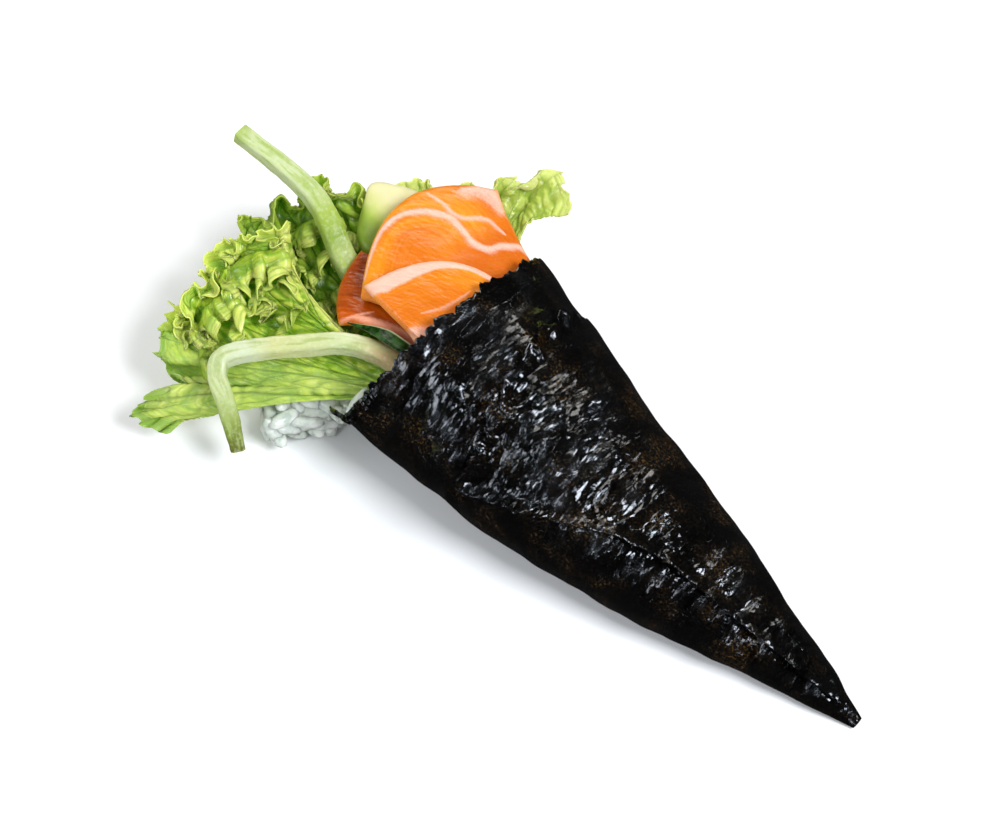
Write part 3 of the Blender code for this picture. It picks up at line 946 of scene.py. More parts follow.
def frilled_leaf(name, shape, rows, columns, seed):
    """shape says in mm where the leaf leaves the mouth, bends and ends, and how much of it folds back."""
    inner_rows, blade_rows, fold_rows = rows
    roll = shape.get("rolled_side", 0.0)
    spread = np.linspace(0, 1 + roll, columns)
    across = np.minimum(spread, 1.0)
    side = across[:, None]
    root = mix(np.array(shape["roots"][0], float), np.array(shape["roots"][1], float), side)
    bend = root + mix(np.array(shape["bends"][0], float), np.array(shape["bends"][1], float), side)
    bearing = np.radians(mix(*shape["bearings"], across))
    reach = shape["reach"](across)
    reach = reach + shape.get("lobes", 1.6) * wander(across * reach, 6.5, seed + 11)
    rim = np.array(shape["hub"], float) + np.stack(
        [np.cos(bearing) * reach, np.sin(bearing) * reach, mix(*shape["rim_heights"], across)], -1
    )
    out = np.linspace(0, 1, blade_rows)[:, None, None]
    blade = root * (1 - out) ** 2 + bend * 2 * out * (1 - out) + rim * out**2

    # The fold: the blade's direction swings up and over as it runs on past the rim.
    ahead = unit(rim - bend)
    sideways = unit(np.gradient(rim, axis=0))
    up = unit(np.cross(sideways, ahead))
    up *= np.sign(up[:, 2:])
    length = shape["fold_length"](across)
    run = np.linspace(0, 1, fold_rows + 1)[1:, None]
    swing = np.radians(shape["fold_angle"](across)) * smooth(run * length / 5.0)
    step = (length / fold_rows)[None, :, None]
    fold = rim + np.cumsum(turning(ahead[None] + 0 * swing[..., None], up[None], swing) * step, axis=0)
    depth = np.linspace(1, 0, inner_rows + 1)[:-1, None]
    inside = root[None] + np.concatenate([depth * shape["depth"], 0 * depth, 0 * depth], -1)[:, None]
    sheet = np.concatenate([inside, blade, fold])

    # Distances along each strip, and from its margin, in mm.
    steps = np.linalg.norm(np.diff(sheet, axis=0), axis=-1)
    along = np.concatenate([np.zeros((1, columns)), np.cumsum(steps, axis=0)])
    from_root = np.maximum(along - along[inner_rows], 0)
    from_margin = along[-1] - along
    margin_run = np.concatenate([[0], np.cumsum(np.linalg.norm(np.diff(rim, axis=0), axis=-1))])
    _, _, normal = sheet_normals(sheet)
    normal *= np.sign(normal[inner_rows + 5, columns // 2, 2])
    tangent = unit(np.gradient(sheet, axis=1))
    shift = np.zeros_like(sheet)
    for number, (pitch, height, reach_in) in enumerate(RUFFLES):
        phase = 2 * np.pi * (margin_run / pitch + 0.55 * wander(margin_run, pitch * 1.4, seed + number))
        phase = phase + 0.8 * wander_over(from_margin + 50, margin_run + 0 * from_margin, pitch * 1.6, seed + 40)
        grown = smooth((reach_in - from_margin) / reach_in) ** 1.3 * (from_root > 0) * shape.get("frill", 1.0)
        strong = height * (0.75 + 0.5 * wander(margin_run, pitch * 2.3, seed + 7 + number)) * grown
        shift += normal * (strong * np.sin(phase))[..., None]
        shift -= tangent * (0.42 * strong * np.sin(2 * phase))[..., None]
    # Pointed teeth stretch the last few millimetres.
    place = margin_run / 2.5 + 0.5 * wander(margin_run, 2.9, seed + 21)
    tooth = (1 - np.abs(2 * (place % 1.0) - 1)) ** 1.6 * (
        0.75 + 0.6 * wander(np.floor(place) * 3.0, 3.0, seed + 22)
    )
    outward_pull = unit(sheet[-1] - sheet[-4])
    shift += outward_pull * (
        smooth((3.2 - from_margin) / 3.2) ** 2 * (1.9 * tooth - 0.4) * shape.get("teeth", 1.0)
    )[..., None]
    # Slow waves keep the flat of the blade from lying like paper.
    slow = wander_over(from_root + 60, margin_run + 0 * from_root, 7.5, seed + 23)
    shift += normal * (0.9 * slow * smooth(from_root / 8))[..., None]
    sheet = sheet + shift
    if roll:
        # Columns past the last strip roll down under it, as one smooth rounded edge.
        past = np.maximum(spread - 1, 0.0) / roll
        turned = np.radians(205) * past
        radius = mix(0.9, shape["roll_radius"], smooth(from_root / 22))[..., None]
        sheet += radius * (tangent * 0 + unit(np.cross(normal, unit(np.gradient(sheet, axis=0))))) * np.sin(
            turned
        )[None, :, None] * shape["roll_sign"]
        sheet -= radius * normal * (1 - np.cos(turned))[None, :, None]
    sheet = squeeze(sheet)
    sheet[..., 2] = np.maximum(sheet[..., 2], 0.5)

    _, _, facing = sheet_normals(sheet)
    facing *= np.sign(facing[inner_rows + 5, columns // 2, 2])
    thin = LEAF_THICKNESS * mix(0.35, 0.5, smooth(from_margin / 4))
    LEAF_SHEETS[name] = sheet, facing, inner_rows, blade_rows
    piece, source = slab_piece(name, sheet, facing * thin[..., None])
    width = np.linalg.norm(np.diff(sheet, axis=1), axis=-1).sum(1)[:, None]
    from_side = (1 - across) * width * 1.4 + 1.4
    edge = np.minimum(from_margin, from_side) if roll else from_margin
    flat = np.stack([(spread - 0.5) * width, along + 0 * width, edge], -1)
    share_out = from_root / np.maximum(from_root[-1], 1)
    veins = vein_field(across + 0 * share_out, share_out, width, shape["veins"], seed + 50)
    paint(piece, "leaf_place", flat.reshape(-1, 3)[source] * MM)
    paint(piece, "vein", veins.ravel()[source])
    swell = shape.get("swell", lambda a: 1 + 0 * a)(across) + 0 * along
    paint(piece, "swell", swell.ravel()[source])
    paint(piece, "outward", facing.reshape(-1, 3)[source])
    return piece


# %% Extra frills
def frill(name, leaf, place, span, width, curl, pitches, seed, lean=(0.0, 0.0, 0.0), rows=40, columns=300):
    """A ruffled ribbon that stands up from a leaf and curls in over it. place is how far out along the leaf its
    foot lies (0 to 1), and span is the part of the leaf, across it, that the foot takes up."""
    sheet, facing, inner_rows, blade_rows = LEAF_SHEETS[leaf]
    share = np.linspace(*span, columns)
    at = share * (sheet.shape[1] - 1) / (1 + FRONT_ROLL * (leaf == "front_leaf"))
    row = inner_rows + (blade_rows - 1) * (place + 0.05 * wander(share * 50, 7.0, seed + 1))
    i, j = row.astype(int), np.minimum(at.astype(int), sheet.shape[1] - 2)
    s, t = (row - i)[:, None], (at - j)[:, None]
    pick = lambda field: mix(
        mix(field[i, j], field[i, j + 1], t), mix(field[i + 1, j], field[i + 1, j + 1], t), s
    )
    foot, up = pick(sheet), unit(pick(facing))
    inwards = unit(sheet[i - 6, j] - sheet[i, j]) + np.array(lean)
    run = np.linspace(0, 1, rows)[:, None]
    taper = smooth((share - span[0]) / (0.18 * (span[1] - span[0]))) * smooth(
        (span[1] - share) / (0.18 * (span[1] - span[0]))
    )
    length = width * (0.35 + 0.65 * taper) * (1 + 0.25 * wander(share * 50, 5.0, seed + 2))
    swing = np.radians(curl[0] + (curl[1] - curl[0]) * smooth(run) + 18 * wander(share * 50, 6.0, seed + 3))
    step = (length / rows)[None, :, None]
    ribbon = foot - 0.4 * up + np.cumsum(
        turning(up[None] + 0 * swing[..., None], unit(inwards)[None], swing) * step, 0
    )
    foot_run = np.concatenate([[0], np.cumsum(np.linalg.norm(np.diff(foot, axis=0), axis=-1))])
    _, _, normal = sheet_normals(ribbon)
    tangent = unit(np.gradient(ribbon, axis=1))
    for number, (pitch, height) in enumerate(pitches):
        phase = 2 * np.pi * (foot_run / pitch + 0.6 * wander(foot_run, pitch * 1.3, seed + 5 + number))
        phase = phase + 0.9 * wander_over(run * length + 30, foot_run + 0 * run, pitch * 1.2, seed + 9)
        strong = height * smooth(run * (1.0 + 0.5 * number) - 0.3 * number) * (
            0.8 + 0.5 * wander(foot_run, pitch * 2.1, seed + 15 + number)
        )
        ribbon = ribbon + normal * (strong * np.sin(phase))[..., None]
        ribbon = ribbon - tangent * (0.33 * strong * np.sin(2 * phase))[..., None]
    from_margin = (1 - run) * length
    place_on = foot_run / 2.9 + 0.5 * wander(foot_run, 3.3, seed + 21)
    tooth = (1 - np.abs(2 * (place_on % 1.0) - 1)) ** 1.4 * (
        0.8 + 0.6 * wander(np.floor(place_on) * 3.0, 3.0, seed + 22)
    )
    pull = unit(ribbon[-1] - ribbon[-4])
    ribbon = ribbon + pull * (smooth((2.6 - from_margin) / 2.6) ** 2 * (3.0 * tooth - 0.7))[..., None]
    ribbon[..., 2] = np.maximum(ribbon[..., 2], 0.5)
    _, _, outward = sheet_normals(ribbon)
    thin = LEAF_THICKNESS * mix(0.3, 0.5, smooth(from_margin / 3))
    piece, source = slab_piece(name, ribbon, outward * thin[..., None])
    flat = np.stack([foot_run + 0 * run, run * length + 7.0 * seed, from_margin], -1)
    paint(piece, "leaf_place", flat.reshape(-1, 3)[source] * MM)
    veins = vein_field(share + 0 * run, run + 0 * share, foot_run[-1], 14, seed + 60)
    paint(piece, "vein", veins.ravel()[source])
    paint(piece, "swell", np.ones(len(source)))
    paint(piece, "outward", outward.reshape(-1, 3)[source])
    return piece


# %% [markdown]
# The blisters come from a Geometry Nodes tree. It reads each point's place on the flattened leaf, splits that
# into cells with a Voronoi texture, and puffs each cell up like a small cushion, so the creases between cells
# stay low. It stores how puffed each place is, and the material uses that to paint shade into the creases.


# %% Blister tree
def blister_tree():
    tree, given = new_tree(
        "blister",
        Cell_Size=METRES,
        Puff_Height=METRES,
        Vein_Depth=METRES,
        Material=("Material", None),
    )
    flat = add(tree, "GeometryNodeInputNamedAttribute", {"Name": "leaf_place"}, data_type="FLOAT_VECTOR")
    vein = add(tree, "GeometryNodeInputNamedAttribute", {"Name": "vein"}, data_type="FLOAT")
    outward = add(tree, "GeometryNodeInputNamedAttribute", {"Name": "outward"}, data_type="FLOAT_VECTOR")
    parts = add(tree, "ShaderNodeSeparateXYZ", {0: flat}).outputs
    level = add(
        tree,
        "ShaderNodeCombineXYZ",
        {0: parts[0], 1: add(tree, "ShaderNodeMath", {0: parts[1], 1: 0.72}, operation="MULTIPLY")},
    )
    drift = add(tree, "ShaderNodeTexNoise", {"Vector": level, "Scale": 260.0, "Detail": 1.0})
    lowered = add(tree, "ShaderNodeVectorMath", {0: drift.outputs["Color"], 1: (0.5,) * 3}, operation="SUBTRACT")
    bent = add(tree, "ShaderNodeVectorMath", {0: lowered, "Scale": 0.0035}, operation="SCALE")
    moved = add(tree, "ShaderNodeVectorMath", {0: level, 1: bent}, operation="ADD")
    rate = add(tree, "ShaderNodeMath", {0: 1.0, 1: given["Cell Size"]}, operation="DIVIDE")
    cells = add(
        tree,
        "ShaderNodeTexVoronoi",
        {"Vector": moved, "Scale": rate},
        voronoi_dimensions="2D",
        feature="DISTANCE_TO_EDGE",
    )
    puff = add(
        tree, "ShaderNodeMapRange", {0: cells.outputs["Distance"], 1: 0.0, 2: 0.32}, interpolation_type="SMOOTHSTEP"
    )
    lump = add(tree, "ShaderNodeTexNoise", {"Vector": level, "Scale": 420.0, "Detail": 2.0}).outputs["Fac"]
    dome = add(
        tree,
        "ShaderNodeMath",
        {
            0: add(tree, "ShaderNodeMath", {0: puff, 1: 0.75}, operation="MULTIPLY"),
            1: add(tree, "ShaderNodeMath", {0: lump, 1: 0.5}, operation="MULTIPLY"),
        },
        operation="ADD",
    )
    near_margin = add(
        tree,
        "ShaderNodeMapRange",
        {0: parts[2], 1: 0.0, 2: 0.004, 3: 0.25, 4: 1.0},
        interpolation_type="SMOOTHSTEP",
    )
    swell = add(tree, "GeometryNodeInputNamedAttribute", {"Name": "swell"}, data_type="FLOAT")
    tallest = add(tree, "ShaderNodeMath", {0: given["Puff Height"], 1: swell}, operation="MULTIPLY")
    raised = add(
        tree,
        "ShaderNodeMath",
        {0: add(tree, "ShaderNodeMath", {0: dome, 1: tallest}, operation="MULTIPLY"), 1: near_margin},
        operation="MULTIPLY",
    )
    groove = add(tree, "ShaderNodeMath", {0: vein, 1: given["Vein Depth"]}, operation="MULTIPLY")
    height = add(tree, "ShaderNodeMath", {0: raised, 1: groove}, operation="SUBTRACT")
    offset = add(tree, "ShaderNodeVectorMath", {0: outward, "Scale": height}, operation="SCALE")
    pushed = add(tree, "GeometryNodeSetPosition", {"Geometry": given["Geometry"], "Offset": offset})
    noted = add(
        tree,
        "GeometryNodeStoreNamedAttribute",
        {"Geometry": pushed, "Name": "puff", "Value": puff},
        data_type="FLOAT",
    )
    solid = add(tree, "GeometryNodeRealizeInstances", {"Geometry": noted})
    dressed = add(
        tree, "GeometryNodeSetMaterial", {"Geometry": solid, "Material": given["Material"]}
    )
    add(tree, "NodeGroupOutput", {"Geometry": dressed})
    return tree


BLISTER = blister_tree()
print("blister tree:", len(BLISTER.nodes), "nodes")

# %% [markdown]
# A washed lettuce leaf is a wax-coated skin over wet, light-filled cells. Light that goes in comes out again a
# little further on and yellower, so thin margins glow; the skin adds small hard glints on each blister.


# %% Fresh lettuce, washed
def lettuce_material(name, deep_tone_and_shade, blade, bright, margin, vein_shade, flat_colour="#b4be80"):
    material, tree, shader = new_material(
        name,
        {
            "IOR": 1.42,
            "Specular IOR Level": 0.55,
            "Subsurface Weight": 0.5,
            "Subsurface Radius": (0.9, 1.4, 0.25),
            "Subsurface Scale": 0.0012,
            "Coat Weight": 0.25,
            "Coat Roughness": 0.12,
            "Coat IOR": 1.4,
        },
    )
    flat = add(tree, "ShaderNodeAttribute", attribute_name="leaf_place").outputs["Vector"]
    vein = add(tree, "ShaderNodeAttribute", attribute_name="vein").outputs["Fac"]
    puff = add(tree, "ShaderNodeAttribute", attribute_name="puff").outputs["Fac"]
    parts = add(tree, "ShaderNodeSeparateXYZ", {0: flat}).outputs
    # Patches of a centimetre, and flecks of half a millimetre where the cells are fuller.
    patches = add(tree, "ShaderNodeTexNoise", {"Vector": flat, "Scale": 120.0, "Detail": 3.0}).outputs["Fac"]
    flecks = add(tree, "ShaderNodeTexNoise", {"Vector": flat, "Scale": 1500.0, "Detail": 2.0}).outputs["Fac"]
    body = add(tree, "ShaderNodeValToRGB", {0: patches}, stops=((0.32, deep_tone_and_shade), (0.48, blade), (0.62, bright)))
    flecked = add(
        tree,
        "ShaderNodeMix",
        {
            0: add(
                tree,
                "ShaderNodeMapRange",
                {0: flecks, 1: 0.35, 2: 0.75, 3: 0.0, 4: 0.5},
                interpolation_type="SMOOTHSTEP",
            ),
            6: body,
            7: bright,
        },
        data_type="RGBA",
    )
    swell = add(tree, "ShaderNodeAttribute", attribute_name="swell").outputs["Fac"]
    # Painted shade: the creases between the blisters are darkened towards the deep colour.
    painted_crease_shade = add(
        tree,
        "ShaderNodeMath",
        {
            0: add(
                tree,
                "ShaderNodeMapRange",
                {0: puff, 1: 0.0, 2: 0.75, 3: 0.75, 4: 0.0},
                interpolation_type="SMOOTHSTEP",
            ),
            1: swell,
        },
        operation="MULTIPLY",
    )
    creased = add(tree, "ShaderNodeMix", {0: painted_crease_shade, 6: flecked, 7: deep_tone_and_shade}, data_type="RGBA")
    # Frilled margins are thin and pale, and are painted paler still, as light shining through them; the margin of the
    # flat blade is painted dark, as shade.
    frilled = add(
        tree, "ShaderNodeMapRange", {0: swell, 1: 0.75, 2: 0.98, 3: 0.0, 4: 1.0}, interpolation_type="SMOOTHSTEP"
    )
    rim = add(tree, "ShaderNodeMix", {0: frilled, 6: deep_tone_and_shade, 7: margin}, data_type="RGBA")
    edged = add(
        tree,
        "ShaderNodeMix",
        {
            0: add(
                tree,
                "ShaderNodeMapRange",
                {0: parts[2], 1: 0.0004, 2: 0.0042, 3: 0.85, 4: 0.0},
                interpolation_type="SMOOTHSTEP",
            ),
            6: creased,
            7: rim,
        },
        data_type="RGBA",
    )
    # Veins are painted darker, as shade in the grooves they sink into.
    veined = add(
        tree,
        "ShaderNodeMix",
        {0: add(tree, "ShaderNodeMath", {0: vein, 1: 0.9}, operation="MULTIPLY"), 6: edged, 7: vein_shade},
        data_type="RGBA",
    )
    # The flat blade is paler and greyer than the swollen, frilled part.
    flatter = add(
        tree,
        "ShaderNodeMix",
        {
            0: add(
                tree,
                "ShaderNodeMapRange",
                {0: swell, 1: 0.6, 2: 1.0, 3: 0.30, 4: 0.0},
                interpolation_type="SMOOTHSTEP",
            ),
            6: veined,
            7: flat_colour,
        },
        data_type="RGBA",
    )
    feed(tree, shader, {"Base Color": flatter})
    feed(
        tree,
        shader,
        {
            "Roughness": add(
                tree,
                "ShaderNodeMapRange",
                {0: patches, 1: 0.35, 2: 0.65, 3: 0.42, 4: 0.24},
                interpolation_type="SMOOTHSTEP",
            ),
        },
    )
    skin = add(tree, "ShaderNodeTexNoise", {"Vector": flat, "Scale": 900.0, "Detail": 3.0, "Distortion": 0.5})
    bump = add(tree, "ShaderNodeBump", {"Strength": 0.5, "Distance": 0.00028, "Height": skin.outputs["Fac"]})
    feed(tree, shader, {"Normal": bump})
    return material


LETTUCE = lettuce_material("lettuce blade, washed", "#6f9c08", "#aec838", "#cfe062", "#deec78", "#6a8a26")
# A darker copy of the lettuce colours: painted shade for the middle leaf, which lies in the shade of the others.
SHADED_LETTUCE = lettuce_material("lettuce blade, in shade", "#44640c", "#7e9a26", "#a4b948", "#b4c656", "#4a6519")
PALE_LETTUCE = lettuce_material("lettuce heart leaf, pale", "#8ea036", "#b4c056", "#c8d272", "#d2da84", "#98a64a")
print("lettuce materials made")


# %% The front leaf, frilled and folded back
def bump_at(value, centre, width):
    return np.exp(-(((value - centre) / width) ** 2))


FRONT_ROLL = 0.06

FRONT_LEAF = {
    "roots": ((0, -15, 14.9), (0, -11.5, 20.2)),
    "bends": ((-16, -14, 0), (-24, -5.5, 2.5)),
    "hub": (-2, -13, 0),
    "bearings": (231, 172),
    "rim_heights": (10.2, 26.0),
    "reach": lambda a: 51.5 - 6 * a - 14 * bump_at(a, 0.16, 0.06) - 7 * (
        1 - np.sqrt(smooth(a / 0.07))
    ) - 5 * smooth((a - 0.78) / 0.2) - 6 * smooth((a - 0.18) / 0.08) + 4 * bump_at(a, 0.43, 0.11),
    "fold_length": lambda a: mix(2.5, 5.0, smooth((a - 0.42) / 0.2)),
    "fold_angle": lambda a: mix(30.0, 75.0, smooth((a - 0.40) / 0.2)),
    "depth": 30.0,
    "veins": 6,
    # A low swell also paints the margin of the left lobe dark, as shade.
    "swell": lambda a: mix(0.6, 1.0, smooth((a - 0.22) / 0.3)),
    "rolled_side": FRONT_ROLL,
    "roll_radius": 2.6,
    "roll_sign": 1.0,
}
front_leaf = frilled_leaf("front_leaf", FRONT_LEAF, (8, 92, 42), 330, 101)
front_leaf = grow(
    front_leaf, BLISTER, Cell_Size=0.0036, Puff_Height=0.00055, Vein_Depth=0.00030, Material=LETTUCE
)
serve(front_leaf, "lettuce_leaf_front")

FRILL_PITCHES = ((7.5, 1.6), (3.4, 1.3), (1.6, 0.55))
for number, (place, span, width, curl) in enumerate(
    (
        (0.98, (0.30, 0.99), 5.5, (-35, 20)),
        (0.93, (0.34, 0.98), 11.0, (0, 118)),
        (0.76, (0.40, 0.99), 8.0, (-10, 80)),
        (0.60, (0.62, 0.98), 5.5, (0, 60)),
        (0.86, (0.20, 0.50), 5.0, (-10, 70)),
    )
):
    extra = frill(
        f"front_frill_{number + 1}",
        "front_leaf",
        place,
        span,
        width,
        curl,
        FRILL_PITCHES,
        140 + 9 * number,
        lean=(0.1, -0.5, -0.1),
    )
    extra = grow(extra, BLISTER, Cell_Size=0.0026, Puff_Height=0.00035, Vein_Depth=0.0002, Material=LETTUCE)
    serve(extra, "lettuce_leaf_front")

# %% The middle and back leaves
MIDDLE_LEAF = {
    "roots": ((0, -10, 14.2), (0, 4, 14.6)),
    "bends": ((-22, -7, 0.5), (-20, 4, 1.0)),
    "hub": (-2, -3, 0),
    "bearings": (191, 155),
    "rim_heights": (19.5, 21.5),
    "reach": lambda a: 44 - 7 * a - 6 * smooth((a - 0.75) / 0.25),
    "fold_length": lambda a: 4.0 + 3.0 * bump_at(a, 0.3, 0.2),
    "fold_angle": lambda a: 70.0 + 60 * bump_at(a, 0.3, 0.2),
    "depth": 24.0,
    "veins": 4,
}
middle_leaf = frilled_leaf("middle_leaf", MIDDLE_LEAF, (6, 66, 26), 220, 202)
middle_leaf = grow(
    middle_leaf, BLISTER, Cell_Size=0.0038, Puff_Height=0.0009, Vein_Depth=0.0003, Material=SHADED_LETTUCE
)
serve(middle_leaf, "lettuce_leaf_middle")

for number, (place, span, width, curl) in enumerate(
    (
        (0.97, (0.02, 0.72), 8.0, (20, 120)),
        (0.78, (0.04, 0.70), 7.0, (0, 85)),
        (0.58, (0.06, 0.62), 6.0, (0, 70)),
        (0.38, (0.10, 0.52), 5.0, (0, 60)),
    )
):
    extra = frill(
        f"middle_frill_{number + 1}",
        "middle_leaf",
        place,
        span,
        width,
        curl,
        FRILL_PITCHES,
        240 + 9 * number,
        lean=(0.1, -0.4, -0.1),
        rows=34,
        columns=240,
    )
    extra = grow(extra, BLISTER, Cell_Size=0.0026, Puff_Height=0.00035, Vein_Depth=0.0002, Material=LETTUCE)
    serve(extra, "lettuce_leaf_middle")

BACK_LEAF = {
    "roots": ((0, 21.5, 23.0), (0, 10, 15.6)),
    "bends": ((-8.5, 8.0, 3), (-20, 2, 0)),
    "hub": (2, 12, 0),
    "bearings": (97, 172),
    "rim_heights": (29.0, 22.0),
    "reach": lambda a: 22.5 + 9.5 * smooth((a - 0.6) / 0.4) + 5 * bump_at(a, 0.2, 0.17) - 3 * (1 - smooth(a / 0.08)),
    "fold_length": lambda a: 2.5 + 0 * a,
    "fold_angle": lambda a: 60.0 + 0 * a,
    "depth": 24.0,
    "veins": 5,
    "frill": 0.7,
    "teeth": 0.35,
}
back_leaf = frilled_leaf("back_leaf", BACK_LEAF, (6, 60, 20), 220, 303)
back_leaf = grow(
    back_leaf, BLISTER, Cell_Size=0.0044, Puff_Height=0.00045, Vein_Depth=0.0003, Material=PALE_LETTUCE
)
serve(back_leaf, "lettuce_leaf_back")

# %% [markdown]
# ## Salmon
# Sashimi is cut across the muscle, so a slice shows the flakes as orange bands with white fat between them, all
# curving the same way. Each slice here is a patch between four bowed edges. The fat lines are curves on it:
# every point of the mesh stores how much fat is there, and how far it lies along and across the nearest line,
# so that the fine grain of the muscle in the material runs beside the fat, as it does in the fish.


# %% Patches and bands
def bowed_patch(corners, edges, across, along):
    """The smooth patch between four bowed edges. Corners come near-left, near-right, far-left, far-right."""
    across, along = across[..., None], along[..., None]
    near_left, near_right, far_left, far_right = (np.array(c, float) for c in corners)
    near, far, left, right = (np.array(e, float) for e in edges)

    def bow(start, middle, end, share):
        return (
            start * (1 - share) * (1 - 2 * share)
            + middle * 4 * share * (1 - share)
            + end * share * (2 * share - 1)
        )

    rows = mix(bow(near_left, near, near_right, across), bow(far_left, far, far_right, across), along)
    columns = mix(bow(near_left, left, far_left, along), bow(near_right, right, far_right, along), across)
    return rows + columns - mix(mix(near_left, near_right, across), mix(far_left, far_right, across), along)


def beside(points, line):
    """For each point, the distance from a flat line, signed by side, and how far along the line it lies (0..1)."""
    line = smooth_path([(x, y, 0.0) for x, y in line], 60)[:, :2]
    flat = points[..., :2].reshape(-1, 2)
    start, step = line[:-1], np.diff(line, axis=0)
    reach = flat[:, None] - start[None]
    share = np.clip((reach * step).sum(-1) / (step**2).sum(-1), 0, 1)
    gap = reach - share[..., None] * step
    far = np.linalg.norm(gap, axis=-1)
    best = far.argmin(1)
    pick = np.arange(len(flat)), best
    sign = np.sign(step[best, 0] * gap[pick][:, 1] - step[best, 1] * gap[pick][:, 0])
    at = (best + share[pick]) / len(step)
    return (far[pick] * sign).reshape(points.shape[:-1]), at.reshape(points.shape[:-1])


def fish_slice(name, corners, edges, thickness, size, crown, bands, guide, shade, edge_band=None):
    """A slice with rounded edges. bands are (line, widths along it, strength); shade says where shade is painted on
    the flesh.
    """
    rows, columns = size
    ease = lambda n: 0.5 - 0.5 * np.cos(np.pi * np.linspace(0, 1, n))
    along, across = np.meshgrid(
        mix(np.linspace(0, 1, rows), ease(rows), 0.6),
        mix(np.linspace(0, 1, columns), ease(columns), 0.6),
        indexing="ij",
    )
    sheet = bowed_patch(corners, edges, across, along)
    sheet[..., 2] += crown * 16 * across * (1 - across) * along * (1 - along)
    sheet = squeeze(sheet)
    right, up, normal = sheet_normals(sheet)
    normal *= np.sign(normal[..., 2:])
    run_across = np.concatenate(
        [np.zeros((rows, 1)), np.cumsum(np.linalg.norm(np.diff(sheet, axis=1), axis=-1), 1)], 1
    )
    run_along = np.concatenate(
        [np.zeros((1, columns)), np.cumsum(np.linalg.norm(np.diff(sheet, axis=0), axis=-1), 0)], 0
    )
    border = np.minimum.reduce([run_across, run_across[:, -1:] - run_across, run_along, run_along[-1:] - run_along])
    # The knife leaves the faces faintly rippled, and the free edges soft.
    ripple = 0.16 * wander_over(run_across + 30, run_along + 30, 3.0, 61) + 0.07 * wander_over(
        run_across + 30, run_along * 3 + 30, 1.1, 62
    )
    sheet = sheet + normal * ripple[..., None]
    fullness = np.sqrt(np.clip(1 - (1 - border / (0.62 * thickness)).clip(0, 1) ** 2, 0, 1))
    piece, source = slab_piece(name, sheet, normal * (0.5 * thickness * fullness)[..., None])
    fat = np.zeros(sheet.shape[:2])
    for line, widths, strength in bands:
        gap, at = beside(sheet, line)
        width = np.interp(at, np.linspace(0, 1, len(widths)), widths) * (
            1 + 0.25 * wander_over(run_across + 9, run_along + 9, 2.2, 63)
        )
        # The fat ends sharply on its outer side and fades into the muscle on the other.
        inside = np.exp(-((gap / (np.where(gap > 0, 0.50, 0.95) * width)) ** 2))
        fat = np.maximum(fat, strength * inside)
    if edge_band is not None:
        width = np.interp(across, *edge_band)
        inside = smooth((width * 1.12 - (run_along[-1:] - run_along)) / (0.35 * width + 0.2))
        fat = np.maximum(fat, inside)
    gap, _ = beside(sheet, guide)
    paint(piece, "shade", shade(sheet[..., 0], sheet[..., 1]).ravel()[source])
    paint(piece, "fat", fat.ravel()[source])
    flakes = np.stack([sheet[..., 0], gap, sheet[..., 1]], -1)
    paint(piece, "flake", flakes.reshape(-1, 3)[source] * MM)
    paint(piece, "rim", np.exp(-((border / 0.8) ** 2)).ravel()[source])
    return piece


